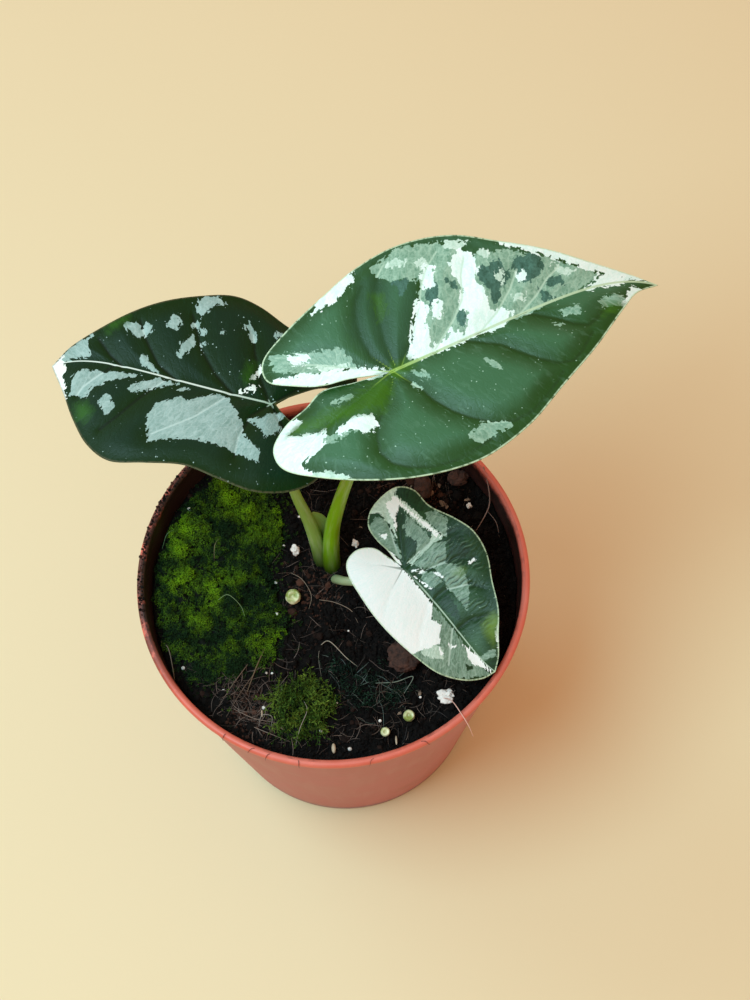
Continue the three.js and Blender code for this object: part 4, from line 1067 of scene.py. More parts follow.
bladeC = {
    "name": "bladeC", "node": "blade_c", "slot": "leaf_half_white",
    "attach": (18, -1.8, 99), "heading": -51, "pitch": -5, "roll": 2, "length": 34.6,
    "lobeLength": 18, "droop": 1.8, "lobeDroop": 1.5, "fold": 0.35, "cup": 0.004, "twist": 0,
    "swing": -2.8, "hook": 1.8, "quilt": 0.5, "wrinkles": 0.12,
    "steps": {"lobe": 44, "lobeTip": 32, "side": 150, "rows": 40},
    "halves": [
        {"outline": [(-2, -0.3), (-6, 0.1), (-10, 0), (-14.6, 1.2), (-17.2, 5.2), (-16.8, 12), (-13, 15.4),
                     (-7, 15.4), (0, 17.4), (6, 18.5), (12, 17.2), (18, 13.4), (24, 9.8), (28.6, 5.6),
                     (32.4, 2.2), (34.6, -1)],
         "lobeStart": 3, "lobeEnd": 5, "shoulder": 8, "rib": (-11, 8.2), "sinusLift": 0.5,
         "wave": 0.8, "waves": 4},
        {"outline": [(-2, -0.3), (-5.4, -0.9), (-9, -1.9), (-11.3, -5.4), (-10.6, -9.6), (-7.4, -12),
                     (-2, -13.4), (5, -14.6), (12, -14.8), (20, -13.9), (26, -12.4), (31, -8.9),
                     (33.8, -4.8), (34.6, -1)],
         "lobeStart": 2, "lobeEnd": 4, "shoulder": 7, "rib": (-6.6, -6), "sinusLift": -0.4,
         "wave": 0.4, "waves": 2, "smooth": 0.7},
    ],
    "veins": [
        [(0, 0), (-4, 1.5), (-9, 4), (-13.5, 6.5)],
        [(0, 0), (0, 5), (0, 9.5), (1.5, 13.5), (3, 17)],
        [(3.5, 0), (5, 5.5), (7.5, 11), (10.5, 14)],
        [(11, -0.5), (11.5, 4), (14.5, 9), (18, 11)],
        [(20.5, -1.5), (21, 3), (23.5, 7)],
        [(0, -0.5), (2, -5.5), (4.5, -10), (6.5, -13.5)],
        [(0, -0.5), (-4, -3.5), (-8, -7.5)],
        [(10, -0.5), (13, -5), (15.5, -9), (18.5, -12.5)],
        [(19.5, -1.5), (22.5, -5), (26, -9)],
    ],
    "markings": {
        "silver": [
            [(17.5, -14), (20.5, -9), (17, -6), (11, -1), (19.5, -1.5), (28, -3), (34.5, -2.5), (30, -9.5),
             (23, -14.5)],
            [(-15, 4), (-12.5, 5.5), (-3.5, 2), (-1.5, 1), (-8, 0), (-10.5, -0.5), (-14, 1)],
            [(-10, 9.5), (-2.5, 10), (0.5, 9.5), (0, 2.5), (-1.5, 2.5), (-1.5, 6), (-5.5, 6), (-7.5, 6.5)],
            [(0.5, 2.5), (0.5, 9.5), (2.5, 12), (6.5, 8), (4, 3.5)],
            [(4, 3), (6.5, 5), (9.5, 4.5), (8.5, 1.5), (5, 1)],
            [(5, 5.5), (7, 8.5), (10, 10.5), (15, 8.5), (19, 4), (11, 4.5)],
            [(29.5, -1.5), (29.5, 0.5), (30.5, 2.5), (32, 2), (30.5, -2)],
            [(-6.5, 13), (-5, 15.5), (-1.5, 16), (2.5, 12.5), (-3.5, 12)],
        ],
        "islands": [
            [(-16, 11.5), (-15.5, 14), (-13, 15.5), (-6, 15.3), (-8, 12), (-15, 11)],
            [(-14, 8.5), (-13.5, 9.5), (-12, 9), (-12, 8)],
            [(-11.5, 8.5), (-9.5, 9.5), (-8, 8), (-9, 6), (-11, 7)],
            [(-8, 5), (-7, 7), (-6, 6.5), (-7, 4.5)],
            [(-5, 4), (-5, 6.5), (-2, 6.5), (-0.5, 4.5), (-0.5, 2.5), (-3, 2.5)],
            [(31.5, -1.5), (32.5, 1.5), (34, 1.5), (34.5, -1.5), (33, -2.5)],
            [(8.5, 1), (10.5, 4), (16, 3), (21, 1), (14, 0)],
            [(0.5, 14.5), (2.5, 16.5), (9, 14.5), (10.5, 11.5), (7, 9.5), (3, 12)],
            [(28.5, -5.5), (30.5, -4.5), (30, -6)],
            [(15.5, -3), (17.5, -2.5), (16.5, -3.5)],
        ],
        "frost": [
            [(-16.5, 3.5), (-18, 8), (-18.5, 11.5), (-16.5, 13.5), (-15.5, 11), (-11.5, 11.5), (-3, 12),
             (1, 12.3), (2, 11.5), (0, 9), (-1.5, 11), (-4, 10), (-13.5, 10), (-12, 7.5), (-7, 4),
             (-10.5, 5), (-15, 5.2)],
            [(-0.5, 1.5), (0, 9), (0.5, 9.5), (0.9, 2)],
            [(17, -12), (19.5, -8), (22, -7), (24, -9), (21, -12)],
        ],
        "white": [
            [(-12, -10.5), (-12, -5), (-9, -1.5), (0, -0.4), (11.5, -1), (14.5, -4), (17, -3), (18.5, -5),
             (20.5, -7), (19, -11), (18, -15), (6, -17), (-5, -15)],
            [(22, -5), (23.5, -4), (23.5, -6)],
            [(21, -7.5), (23, -8), (23, -9)],
            [(24.5, -2.5), (28, -1.8), (34, -1.8), (29, -4)],
            [(-15.5, 8), (-15, 10.8), (-9, 10.9), (-3, 11.6), (0.6, 12), (0.6, 11.2), (-3, 10.7),
             (-12.5, 10.1), (-11.5, 8), (-8, 5), (-11, 6.4)],
            [(-11, 1.5), (-9.5, 3), (-8.5, 1.5)],
            [(-9.5, -1), (-4.5, 0.5), (-1, 0.3), (-7.5, -1.2)],
            [(2, 1), (4, 3.5), (4.5, 3), (3, 1.5)],
            [(3, 0.5), (8.5, 1.5), (7, 0.8)],
            [(6, 4.5), (7.5, 5.7), (9, 5), (7.5, 4.5)],
            [(10.5, 12), (10.5, 14), (11, 14), (11, 12)],
            [(27, 6), (26, 9.5), (28.5, 6.8), (30.7, 3.5), (29, 4.5)],
            [(26, -1.5), (27, -1), (27, -1.5)],
        ],
        "lime": [
            [(9.5, 8), (10, 10), (11, 10.5), (11.5, 8.5)],
            [(24, 4.5), (24, 8), (26.5, 9), (29.5, 3), (26.5, 3.5)],
        ],
    },
}

leafLook = {
    "bladeA": {
        "green": ("#184412", "#366644"), "sheen": "#5c886c", "vein": "#153a14",
        "deep": ("#1b4426", "#336143"), "silver": ("#5f8c74", "#96bba4"), "islands": ("#244c3c", "#4b786a"),
        "frost": ("#9fc4ae", "#d3eadd"), "white": ("#cdeee4", "#ecfaf6"), "lime": ("#1f4a08", "#3d7412"),
        "midrib": ("#8fb848", "#b9d3ae"), "margin": "#c3dcb8", "under": "#8fb08a",
        "specks": 0.03, "rimLine": 0.9, "silverVein": "#b9d6bf", "rays": 6.0, "ribHalf": 0.5,
        "gloss": 0.35, "torn": 1.0, "grown": {"silver": 0.2, "islands": 0.15, "white": 0.45},
    },
    "bladeB": {
        "green": ("#0a2a0a", "#0e2c1b"), "sheen": "#173a28", "vein": "#081c0e",
        "deep": ("#0a2a0a", "#0e2c1b"), "silver": ("#7b9b93", "#9fbbb6"), "islands": ("#12300f", "#1d3a2b"),
        "frost": ("#c3d8d0", "#dcebe4"), "white": ("#e0f0e6", "#fafffa"), "lime": ("#1a4210", "#2f6018"),
        "midrib": ("#b3cdb8", "#dcebe0"), "margin": "#5f5a40", "under": "#6d9070",
        "specks": 0.01, "rimLine": 0.5, "silverVein": "#bcd2cc", "rays": 1.5, "ribHalf": 0.33,
        "gloss": 0.2, "torn": 0.75, "grown": {"silver": 0.1, "white": 0.1},
    },
    "bladeC": {
        "green": ("#123614", "#345a3a"), "sheen": "#567a60", "vein": "#10301a",
        "deep": ("#123614", "#345a3a"), "silver": ("#4a6b57", "#86a692"), "islands": ("#122c18", "#1f4428"),
        "frost": ("#97b9a4", "#cfe5d8"), "white": ("#ecfbfa", "#fbffff"), "lime": ("#1f5010", "#7c9c38"),
        "midrib": ("#2f5238", "#b3cfba"), "margin": "#c3dcb8", "under": "#9ab79a",
        "specks": 0.03, "rimLine": 0.8, "silverVein": "#b9d2c4", "rays": 7.0, "ribHalf": 0.3,
        "gloss": 0.3, "torn": 0.5, "grown": {"white": 0.05},
    },
}
markingOrder = ("deep", "silver", "islands", "frost", "white", "lime")


def throughPoints(points, place):
    # A smooth curve through the outline's points, at places from 0 to 1
    points = np.array(points, float)
    last = len(points) - 1
    whole = np.minimum((place * last).astype(int), last - 1)
    part = (place * last - whole)[:, None]
    padded = np.vstack([2 * points[0] - points[1], points, 2 * points[-1] - points[-2]])
    before, start, end, after = (padded[whole + k] for k in range(4))
    leaving, arriving = (end - before) / 2, (after - start) / 2
    return ((2 * start - 2 * end + leaving + arriving) * part ** 3
            + (-3 * start + 3 * end - 2 * leaving - arriving) * part ** 2 + leaving * part + start)


def lineDistance(u, v, line):
    nearest = np.full(u.shape, 1e9)
    for (u0, v0), (u1, v1) in zip(line, line[1:]):
        du, dv = u1 - u0, v1 - v0
        along = np.clip(((u - u0) * du + (v - v0) * dv) / (du * du + dv * dv), 0, 1)
        nearest = np.minimum(nearest, np.hypot(u - u0 - along * du, v - v0 - along * dv))
    return nearest


def insidePatch(u, v, corners):
    # Signed distance to a patch's edge, positive inside
    distance = lineDistance(u, v, corners + corners[:1])
    inside = np.zeros(u.shape, bool)
    for (u0, v0), (u1, v1) in zip(corners, corners[1:] + corners[:1]):
        if v0 != v1:
            inside ^= ((v0 > v) != (v1 > v)) & (u < (u1 - u0) * (v - v0) / (v1 - v0) + u0)
    return np.where(inside, distance, -distance)


def midribAcross(blade, along):
    return blade["swing"] * along ** 2 + blade["hook"] * along ** 8


def bladeRise(blade, u, v):
    along = np.maximum(u, 0) / blade["length"]
    across = v - midribAcross(blade, along)
    sag = np.where(u > 0, blade["droop"] * along ** 3, blade["lobeDroop"] * (u / blade["lobeLength"]) ** 2)
    fold = blade["fold"] * (np.hypot(across, 2) - 2) - blade["cup"] * across ** 2
    return fold - sag - blade["twist"] * np.maximum(u, 0) * across


def halfStations(blade, half):
    start, end, shoulder = half["lobeStart"], half["lobeEnd"], half["shoulder"]
    rib, steps = np.array(half["rib"], float), blade["steps"]
    tip = len(half["outline"]) - 1
    there = np.arange(steps["lobe"] + 1) / steps["lobe"]
    around = np.arange(1, steps["lobeTip"] + 1) / steps["lobeTip"]
    back = there[1:]
    side = np.arange(1, steps["side"] + 1) / steps["side"]
    roots = np.vstack([
        rib * there[:, None], np.repeat(rib[None], len(around), 0), rib * (1 - back)[:, None],
        np.stack([blade["length"] * side, midribAcross(blade, side)], 1),
    ])
    edges = np.concatenate([start * there, start + (end - start) * around,
                            end + (shoulder - end) * back, shoulder + (tip - shoulder) * side]) / tip
    veins = np.concatenate([there, 1 + around, 2 + 2 * back, 4 + 4 * side])
    return roots, edges, veins


bladeSheet = {
    "middle": 0.5, "margin": 0.3, "midribDrop": 1.0, "midribWidth": 0.85, "veinDrop": 0.35, "veinWidth": 0.6,
    "veinDent": 0.28, "dentWidth": 0.7, "quiltWidth": 3.2, "creaseSpacing": 1.2,
}


def bladeGrid(blade, half):
    # One half as a grid of stations by rows, with its place and what the material reads
    roots, edges, veins = halfStations(blade, half)
    # Rows lie closer by the midrib, and the last two make a thin margin
    rows = np.arange(blade["steps"]["rows"] + 1) / blade["steps"]["rows"]
    rows = np.append(rows[:-1] ** 1.3 * 0.99, [0.992, 1.0])
    rim = throughPoints(half["outline"], edges)
    u = roots[:, :1] + (rim[:, :1] - roots[:, :1]) * rows
    v = roots[:, 1:] + (rim[:, 1:] - roots[:, 1:]) * rows
    row = np.broadcast_to(rows, u.shape)
    phase = np.broadcast_to(veins[:, None], u.shape)
    around = np.broadcast_to(edges[:, None], u.shape)
    toEdge = (1 - row) * np.hypot(rim[:, :1] - roots[:, :1], rim[:, 1:] - roots[:, 1:])
    along = np.clip(u / blade["length"], 0, 1)
    toMidrib = np.where(u > 0, np.abs(v - midribAcross(blade, along)), np.hypot(u, v))
    ribs = [[(0, 0), other["rib"]] for other in blade["halves"]]
    toRib = np.minimum.reduce([lineDistance(u, v, rib) for rib in ribs])
    toMain = np.minimum(toMidrib, toRib)
    toVein = np.minimum.reduce([lineDistance(u, v, line) for line in blade["veins"]] + [toRib])
    fading = smoothStep(0, 5, toEdge)
    panel = 1 - np.exp(-(np.minimum(toVein, toMain) / bladeSheet["quiltWidth"]) ** 2)
    relief = 1 - half.get("smooth", 0)
    swell = blade["quilt"] * relief * panel * fading
    dent = bladeSheet["veinDent"] * relief * np.exp(-(toVein / bladeSheet["dentWidth"]) ** 2) * fading
    lift = half["sinusLift"] * row ** 2 * np.sin(math.pi * np.minimum(phase / 1.6, 1))
    ripple = half["wave"] * np.sin(math.tau * half["waves"] * around) * np.sin(math.pi * around) * row ** 3
    creases = np.zeros(u.shape)
    if half["rib"][1] > 0 and blade["wrinkles"]:
        # Creased from the stem to 29 mm along, and from 2 mm off the midrib to the edge
        creaseZone = smoothStep(0, 3, u) * smoothStep(29, 22, u) * smoothStep(2, 5, v)
        creaseZone = creaseZone * smoothStep(0.5, 3, toEdge)
        drift = 0.9 * np.sin(0.9 * v + 0.2 * u) + 0.7 * np.sin(0.45 * u + 1.7 * v)
        broken = 0.55 + 0.45 * np.sin(0.8 * u - 1.1 * v)
        waves = np.sin(math.tau * u / bladeSheet["creaseSpacing"] + drift * 1.8)
        creases = blade["wrinkles"] * creaseZone * broken * waves
    middle = bladeRise(blade, u, v) + swell - dent + lift + ripple + creases
    slim = smoothStep(0, 8, toEdge)
    sheet = bladeSheet["margin"] + (bladeSheet["middle"] - bladeSheet["margin"]) * slim
    taper = 1 - 0.75 * along
    drop = bladeSheet["midribDrop"] * taper * np.exp(-(toMain / (bladeSheet["midribWidth"] * taper)) ** 2)
    drop = drop * smoothStep(0, 2, toEdge)
    drop = drop + bladeSheet["veinDrop"] * np.exp(-(toVein / bladeSheet["veinWidth"]) ** 2) * fading
    values = {
        "place": np.stack([u, v, phase], -1), "edge": toEdge, "lateral": toVein, "main": toMidrib,
        "along": along, "crease": creases / max(blade["wrinkles"], 0.01),
    }
    for kind in markingOrder:
        field = np.full(u.shape, -3.0)
        for patch in blade["markings"].get(kind, []):
            field = np.maximum(field, np.clip(insidePatch(u, v, patch), -3, 3))
        values[kind] = field
    return u, v, middle, sheet, drop, values


def bladeAxes(blade):
    heading, pitch, roll = (math.radians(blade[key]) for key in ("heading", "pitch", "roll"))
    ahead = Vector((math.cos(heading), math.sin(heading), 0))
    along = ahead * math.cos(pitch) + Vector((0, 0, math.sin(pitch)))
    level = Vector((-math.sin(heading), math.cos(heading), 0))
    up = along.cross(level)
    across = level * math.cos(roll) + up * math.sin(roll)
    return along, across, along.cross(across)


def makeBlade(blade):
    axes = np.array([list(axis) for axis in bladeAxes(blade)])
    origin = np.array(blade["attach"], float)
    points, faces, values = [], [], {}
    count = 0
    for half in blade["halves"]:
        u, v, middle, sheet, drop, given = bladeGrid(blade, half)
        stations, rows = u.shape
        top = np.stack([u, v, middle + sheet / 2], -1)
        under = np.stack([u, v, middle - sheet / 2 - drop], -1)
        points += [top.reshape(-1, 3), under.reshape(-1, 3)]
        for key, data in given.items():
            flat = data.reshape(-1, 3) if data.ndim == 3 else data.reshape(-1)
            values.setdefault(key, []).extend([flat, flat])
        values.setdefault("side", []).extend([np.ones(stations * rows), np.zeros(stations * rows)])
        grid = np.arange(stations * rows).reshape(stations, rows) + count
        below = grid + stations * rows
        near, far = grid[:-1, :-1], grid[1:, :-1]
        farOut, nearOut = grid[1:, 1:], grid[:-1, 1:]
        upper = np.stack([near, far, farOut, nearOut], -1).reshape(-1, 4)
        lower = (np.stack([nearOut, farOut, far, near], -1) + stations * rows).reshape(-1, 4)
        rim = np.stack([grid[:-1, -1], grid[1:, -1], below[1:, -1], below[:-1, -1]], -1)
        faces += [upper, lower, rim]
        count += 2 * stations * rows
    points = np.vstack(points) @ axes + origin
    values = {key: np.concatenate(data) for key, data in values.items()}
    piece = fromPoints(blade["name"], points * mm, np.vstack(faces).tolist(), values)
    coated(piece, makeLeafMaterial(blade["name"]))
    closeSeams(piece)
    print(blade["name"], len(piece.data.polygons), "faces")
    return dressed(piece, blade["slot"], blade["node"])


def makeLeafMaterial(name):
    # Living leaf with sectors of cells that lack green: a waxy velvet skin. The finest veins run out
    # from the midrib and fence off small cells, so every patch of colour has a torn, stepped edge.
    look = leafLook[name]
    material, tree = newMaterial(name + "LivingLeaf")
    place = addNode(tree, "ShaderNodeAttribute", {"attribute_name": "place"}).outputs["Vector"]
    read = {key: addNode(tree, "ShaderNodeAttribute", {"attribute_name": key}).outputs["Fac"]
            for key in (*markingOrder, "edge", "lateral", "main", "along", "side", "crease")}
    alongLeaf, acrossLeaf, around = addNode(tree, "ShaderNodeSeparateXYZ", {}, {0: place}).outputs
    flat = addNode(tree, "ShaderNodeCombineXYZ", {}, {0: alongLeaf, 1: acrossLeaf})
    toStem = addNode(tree, "ShaderNodeVectorMath", {"operation": "LENGTH"}, {0: flat}).outputs["Value"]

    # Grain that fans out from the midrib, and cells in it. The leaf's own places are in millimetres.
    warp = addNode(tree, *noiseTexture, {"Vector": flat, "Scale": 1 / 1.25, "Detail": 2.0}).outputs["Color"]
    fan = addNode(tree, "ShaderNodeCombineXYZ", {}, {
        0: addNode(tree, *times, {0: around, 1: 14.0}), 1: addNode(tree, *times, {0: read["edge"], 1: 0.5})})
    grain = addNode(tree, "ShaderNodeVectorMath", {"operation": "MULTIPLY_ADD"}, {
        0: warp, 1: (1.1, 1.1, 0), 2: fan})
    cells = addNode(tree, "ShaderNodeTexVoronoi", {}, {"Vector": grain, "Scale": 1 / 0.85})
    draws = addNode(tree, "ShaderNodeSeparateColor", {}, {0: cells.outputs["Color"]}).outputs
    fine = addNode(tree, *noiseTexture, {
        "Vector": flat, "Scale": 1 / 0.588, "Detail": 4.0, "Roughness": 0.65})
    broad = addNode(tree, *noiseTexture, {"Vector": flat, "Scale": 1 / 7.14, "Detail": 3.0})
    stretched = addNode(tree, "ShaderNodeVectorMath", {"operation": "MULTIPLY"}, {
        0: grain, 1: (1 / 0.77, 1 / 2.0, 0)})
    streaks = addNode(tree, *noiseTexture, {"Vector": stretched, "Scale": 1.0, "Detail": 3.0})

    # Green, lighter mid-panel, a painted highlight, and darker along the veins, a painted shade in
    # their valleys; deeper at the edge, with streaks of painted sheen
    fromVein = addNode(tree, *timesPlus, {0: broad, 1: 3.0, 2: read["lateral"]})
    fromEdge = addNode(tree, *timesPlus, {0: broad, 1: 3.0, 2: read["edge"]})
    panel = addNode(tree, *mapRange, {0: fromVein, 1: 1.5, 2: 6.5})
    inward = addNode(tree, *mapRange, {0: fromEdge, 1: 2.5, 2: 7.0})
    panelLightAndShade = addNode(tree, *times, {0: panel, 1: inward})
    colour = addNode(tree, *mixColour, {0: panelLightAndShade, 6: look["green"][0], 7: look["green"][1]})
    sheen = addNode(tree, *mapRange, {0: streaks, 1: 0.55, 2: 0.75, 4: 0.35})
    # A dark line along each side vein: painted shade in its groove
    veinLine = addNode(tree, *mapRange, {0: read["lateral"], 1: 0.55, 2: 0.15, 4: 0.75})
    layers = [(sheen, look["sheen"]), (veinLine, look["vein"])]

    # Pale specks, each a small cell
    dots = addNode(tree, "ShaderNodeTexVoronoi", {}, {"Vector": flat, "Scale": 1 / 0.6})
    rare = addNode(tree, "ShaderNodeSeparateColor", {}, {0: dots.outputs["Color"]}).outputs[1]
    rarer = addNode(tree, *timesPlus, {0: broad, 1: 0.3, 2: rare})
    chosen = addNode(tree, *mapRange, {0: rarer, 1: 1.1 - look["specks"], 2: 1.12 - look["specks"]})
    dotSize = addNode(tree, *timesPlus, {0: fine, 1: 1.4, 2: dots})
    small = addNode(tree, *mapRange, {0: dotSize, 1: 0.95, 2: 0.8})
    layers.append((addNode(tree, *times, {0: chosen, 1: small}), look["silver"][1]))

    # Patches, each kind over the one before, with torn edges
    torn = look["torn"]
    cellJag = addNode(tree, *timesPlus, {0: draws[0], 1: 1.2 * torn, 2: -1.35 * torn})
    jag = addNode(tree, *timesPlus, {0: fine, 1: 1.5 * torn, 2: cellJag})
    mottle = addNode(tree, *timesPlus, {0: streaks, 1: 0.8, 2: fine})
    mottle = addNode(tree, *timesPlus, {0: draws[1], 1: 0.3, 2: mottle})
    cellTone = addNode(tree, *mapRange, {0: mottle, 1: 0.7, 2: 1.35})
    spans = {"deep": (-1.5, 1.5), "lime": (-1.2, 1.4)}
    # Deep patches follow the panel tone too, with its painted highlight and shade
    tones = {"deep": panel, "lime": broad}
    amounts = {}
    for kind in markingOrder:
        grown = look["grown"].get(kind, 0)
        low, high = spans.get(kind, (-0.05 - grown, 0.05 - grown))
        ragged = addNode(tree, *add, {0: read[kind], 1: jag})
        amounts[kind] = addNode(tree, *mapRange, {0: ragged, 1: low, 2: high})
        tint = addNode(tree, *mixColour, {0: tones.get(kind, cellTone), 6: look[kind][0], 7: look[kind][1]})
        layers.append((amounts[kind], tint))

    # Fine veins: a pale net and pale side veins where the leaf is silver; the creases are painted dark
    # in their furrows and light on their ridges, a painted shade and a painted highlight
    net = addNode(tree, "ShaderNodeTexVoronoi", {"feature": "DISTANCE_TO_EDGE"}, {
        "Vector": grain, "Scale": 1 / 1.5})
    netLine = addNode(tree, *mapRange, {0: net, 1: 0.1, 2: 0.0})
    netAmount = addNode(tree, *times, {0: netLine, 1: addNode(tree, *times, {0: amounts["silver"], 1: 0.26})})
    for kind in ("islands", "frost", "white"):
        bare = addNode(tree, *mapRange, {0: amounts[kind], 1: 1.0, 2: 0.0})
        netAmount = addNode(tree, *times, {0: netAmount, 1: bare})
    creaseShade = addNode(tree, *mapRange, {0: read["crease"], 1: -0.15, 2: -0.8, 4: 0.75})
    creaseHighlight = addNode(tree, *mapRange, {0: read["crease"], 1: 0.35, 2: 0.9, 4: 0.3})
    thread = addNode(tree, *mapRange, {0: read["lateral"], 1: 0.35, 2: 0.1, 4: 0.7})
    silverVein = addNode(tree, *times, {0: thread, 1: amounts["silver"]})
    layers += [(netAmount, look["silverVein"]), (creaseShade, look["vein"]), (creaseHighlight, look["silver"][1]),
               (silverVein, look["silverVein"])]

    # Midrib, the pale rays about the stem, and the margin
    ray = addNode(tree, *mapRange, {0: read["lateral"], 1: 0.22, 2: 0.08})
    nearStem = addNode(tree, *mapRange, {0: toStem, 1: look["rays"], 2: 1.0, 4: 0.7})
    ribHalf = addNode(tree, *timesPlus, {0: read["along"], 1: -0.15, 2: look["ribHalf"]})
    ribSpan = addNode(tree, "ShaderNodeMath", {"operation": "DIVIDE"}, {0: read["main"], 1: ribHalf})
    ribLine = addNode(tree, *mapRange, {0: ribSpan, 1: 1.0, 2: 0.5, 4: 0.9})
    ribFade = addNode(tree, *mapRange, {0: read["along"], 2: 0.25})
    ribTint = addNode(tree, *mixColour, {0: ribFade, 6: look["midrib"][0], 7: look["midrib"][1]})
    hem = addNode(tree, *mapRange, {0: read["edge"], 1: 0.42, 2: 0.2, 4: look["rimLine"]})
    hemBreaks = addNode(tree, *mapRange, {0: streaks, 1: 0.3, 2: 0.5})
    layers += [(addNode(tree, *times, {0: ray, 1: nearStem}), look["midrib"][0]), (ribLine, ribTint),
               (addNode(tree, *times, {0: hem, 1: hemBreaks}), look["margin"])]
    colour = layered(tree, colour, layers)
    under = addNode(tree, *mixColour, {0: 0.6, 6: colour, 7: look["under"]})
    bothSides = addNode(tree, *mixColour, {0: read["side"], 6: under, 7: colour})
    gloss = addNode(tree, *mapRange, {0: fine, 3: 0.36, 4: 0.5})
    relief = addNode(tree, *timesPlus, {0: streaks, 1: 0.6, 2: fine})
    relief = addNode(tree, *timesPlus, {0: netLine, 1: -0.5, 2: relief})
    return finished(material, {
        "Base Color": bothSides, "Roughness": gloss, "IOR": 1.45, "Specular IOR Level": look["gloss"],
    }, (relief, 0.35, 0.12))


for blade in (bladeA, bladeB, bladeC):
    makeBlade(blade)
print("blades made")


# Leaf stems

def stemEnd(blade, depth):
    up = bladeAxes(blade)[2]
    return tuple(Vector(blade["attach"]) - up * depth)


stemStop = 0.2
# A stem's colours are its foot, painted shade by the soil, then its middle and top
leafStems = {
    "petioleA": {
        "node": "petiole_a", "slot": "stem_green",
        "colours": ("#1f3207", "#76aa10", "#8dbb30"), "pale": "#b5cf8e",
        "points": [(0.2, 4.6, 80), (-0.2, 6.6, 88), (0.6, 10.2, 98), (3, 12.4, 110), (6.6, 14.6, 124),
                   (12.6, 18, 146), stemEnd(bladeA, 5), stemEnd(bladeA, stemStop)],
        "radii": [2.4, 2.3, 2, 1.7, 1.45, 1.25, 1.2, 1.5],
    },
    "petioleB": {
        "node": "petiole_b", "slot": "stem_green",
        "colours": ("#22360f", "#86ab52", "#84b040"), "pale": "#b5c9a2",
        "points": [(-2.4, 6.4, 80), (-3.4, 9, 91), (-5, 11.8, 101), (-7.6, 14.6, 113), (-10, 19, 128),
                   stemEnd(bladeB, 5), stemEnd(bladeB, stemStop)],
        "radii": [2.2, 1.9, 1.6, 1.3, 1.15, 1.1, 1.4],
    },
    "petioleC": {
        "node": "petiole_c", "slot": "stem_pale",
        "colours": ("#7f9168", "#a9b88c", "#c3d0b2"), "pale": "#dbe5cf",
        "points": [(-0.2, 3.4, 80), (0.6, 2, 85), (3, 0, 88.4), (8, -1.6, 91), (14, -2.2, 93),
                   stemEnd(bladeC, 3), stemEnd(bladeC, stemStop)],
        "radii": [1.3, 1.25, 1.15, 1.05, 1, 1, 1.2],
    },
}
stemMesh = {"steps": 96, "sides": 28, "meanRadius": 1.44, "streak": 0.6}


def makeStemMaterial(name, colours, pale):
    # Fleshy leaf stem: wet-looking green skin, painted dark where it leaves the soil, a painted shade,
    # with faint lengthwise streaks
    material, tree = newMaterial(name + "FleshyStem")
    height = addNode(tree, "ShaderNodeSeparateXYZ", {}, {
        0: addNode(tree, "ShaderNodeTexCoord").outputs["Object"]}).outputs[2]
    along = addNode(tree, "ShaderNodeAttribute", {"attribute_name": "along"}).outputs["Fac"]
    place = addNode(tree, "ShaderNodeAttribute", {"attribute_name": "place"}).outputs["Vector"]
    tall = addNode(tree, "ShaderNodeMapping", {}, {"Vector": place, "Scale": (1, 1, 0.08)})
    streaks = addNode(tree, *noiseTexture, {
        "Vector": tall, "Scale": stemMesh["meanRadius"] / stemMesh["streak"], "Detail": 3.0})
    # Up to 12 mm above the soil the skin darkens to the foot colour, a painted shade
    aboveSoil = addNode(tree, *mapRange, {0: height, 1: (soilLevel + 1.5) * mm, 2: (soilLevel + 12) * mm})
    upper = addNode(tree, *mapRange, {0: along, 1: 0.3, 2: 0.9})
    pallor = addNode(tree, *mapRange, {0: streaks, 1: 0.45, 2: 0.7, 4: 0.4})
    foot, middle, top = colours
    skin = layered(tree, middle, [(upper, top), (pallor, pale)])
    colour = addNode(tree, *mixColour, {0: aboveSoil, 6: foot, 7: skin})
    return finished(material, {
        "Base Color": colour, "Roughness": 0.34, "IOR": 1.42,
        "Subsurface Weight": 0.12, "Subsurface Scale": 0.6 * mm}, (streaks, 0.3, 0.1))


def tube(points, radii, steps, sides):
    # Rings along a smooth curve, carried without twist, with flat ends
    places = np.arange(steps + 1) / steps
    line = throughPoints(points, places)
    sizes = np.interp(places, np.linspace(0, 1, len(radii)), radii)
    tangents = np.gradient(line, axis=0)
    tangents /= np.linalg.norm(tangents, axis=1)[:, None]
    normal = np.cross(tangents[0], [0, 1, 0])
    rings, marks, along = [], [], []
    for i in range(steps + 1):
        normal = normal - tangents[i] * (normal @ tangents[i])
        normal /= np.linalg.norm(normal)
        side = np.cross(tangents[i], normal)
        for k in range(sides):
            angle = math.tau * k / sides
            out = normal * math.cos(angle) + side * math.sin(angle)
            rings.append(line[i] + out * sizes[i])
            marks.append((math.cos(angle), math.sin(angle), places[i] * 60))
            along.append(places[i])
    faces = bands(steps, sides) + ends(steps, sides)
    return np.array(rings), faces, {"place": np.array(marks), "along": np.array(along)}


sheathLook = {"low": 86, "high": 103.5, "thickness": 0.5, "levels": 40, "columns": 16,
              "pastStem": 0.6, "behind": 2.6, "bulge": 0.9, "fall": 1.2, "taper": 0.75}


def centreAtHeight(points, z):
    samples = throughPoints(points, np.linspace(0, 1, 400))
    return samples[np.argmin(np.abs(samples[:, 2] - z))]


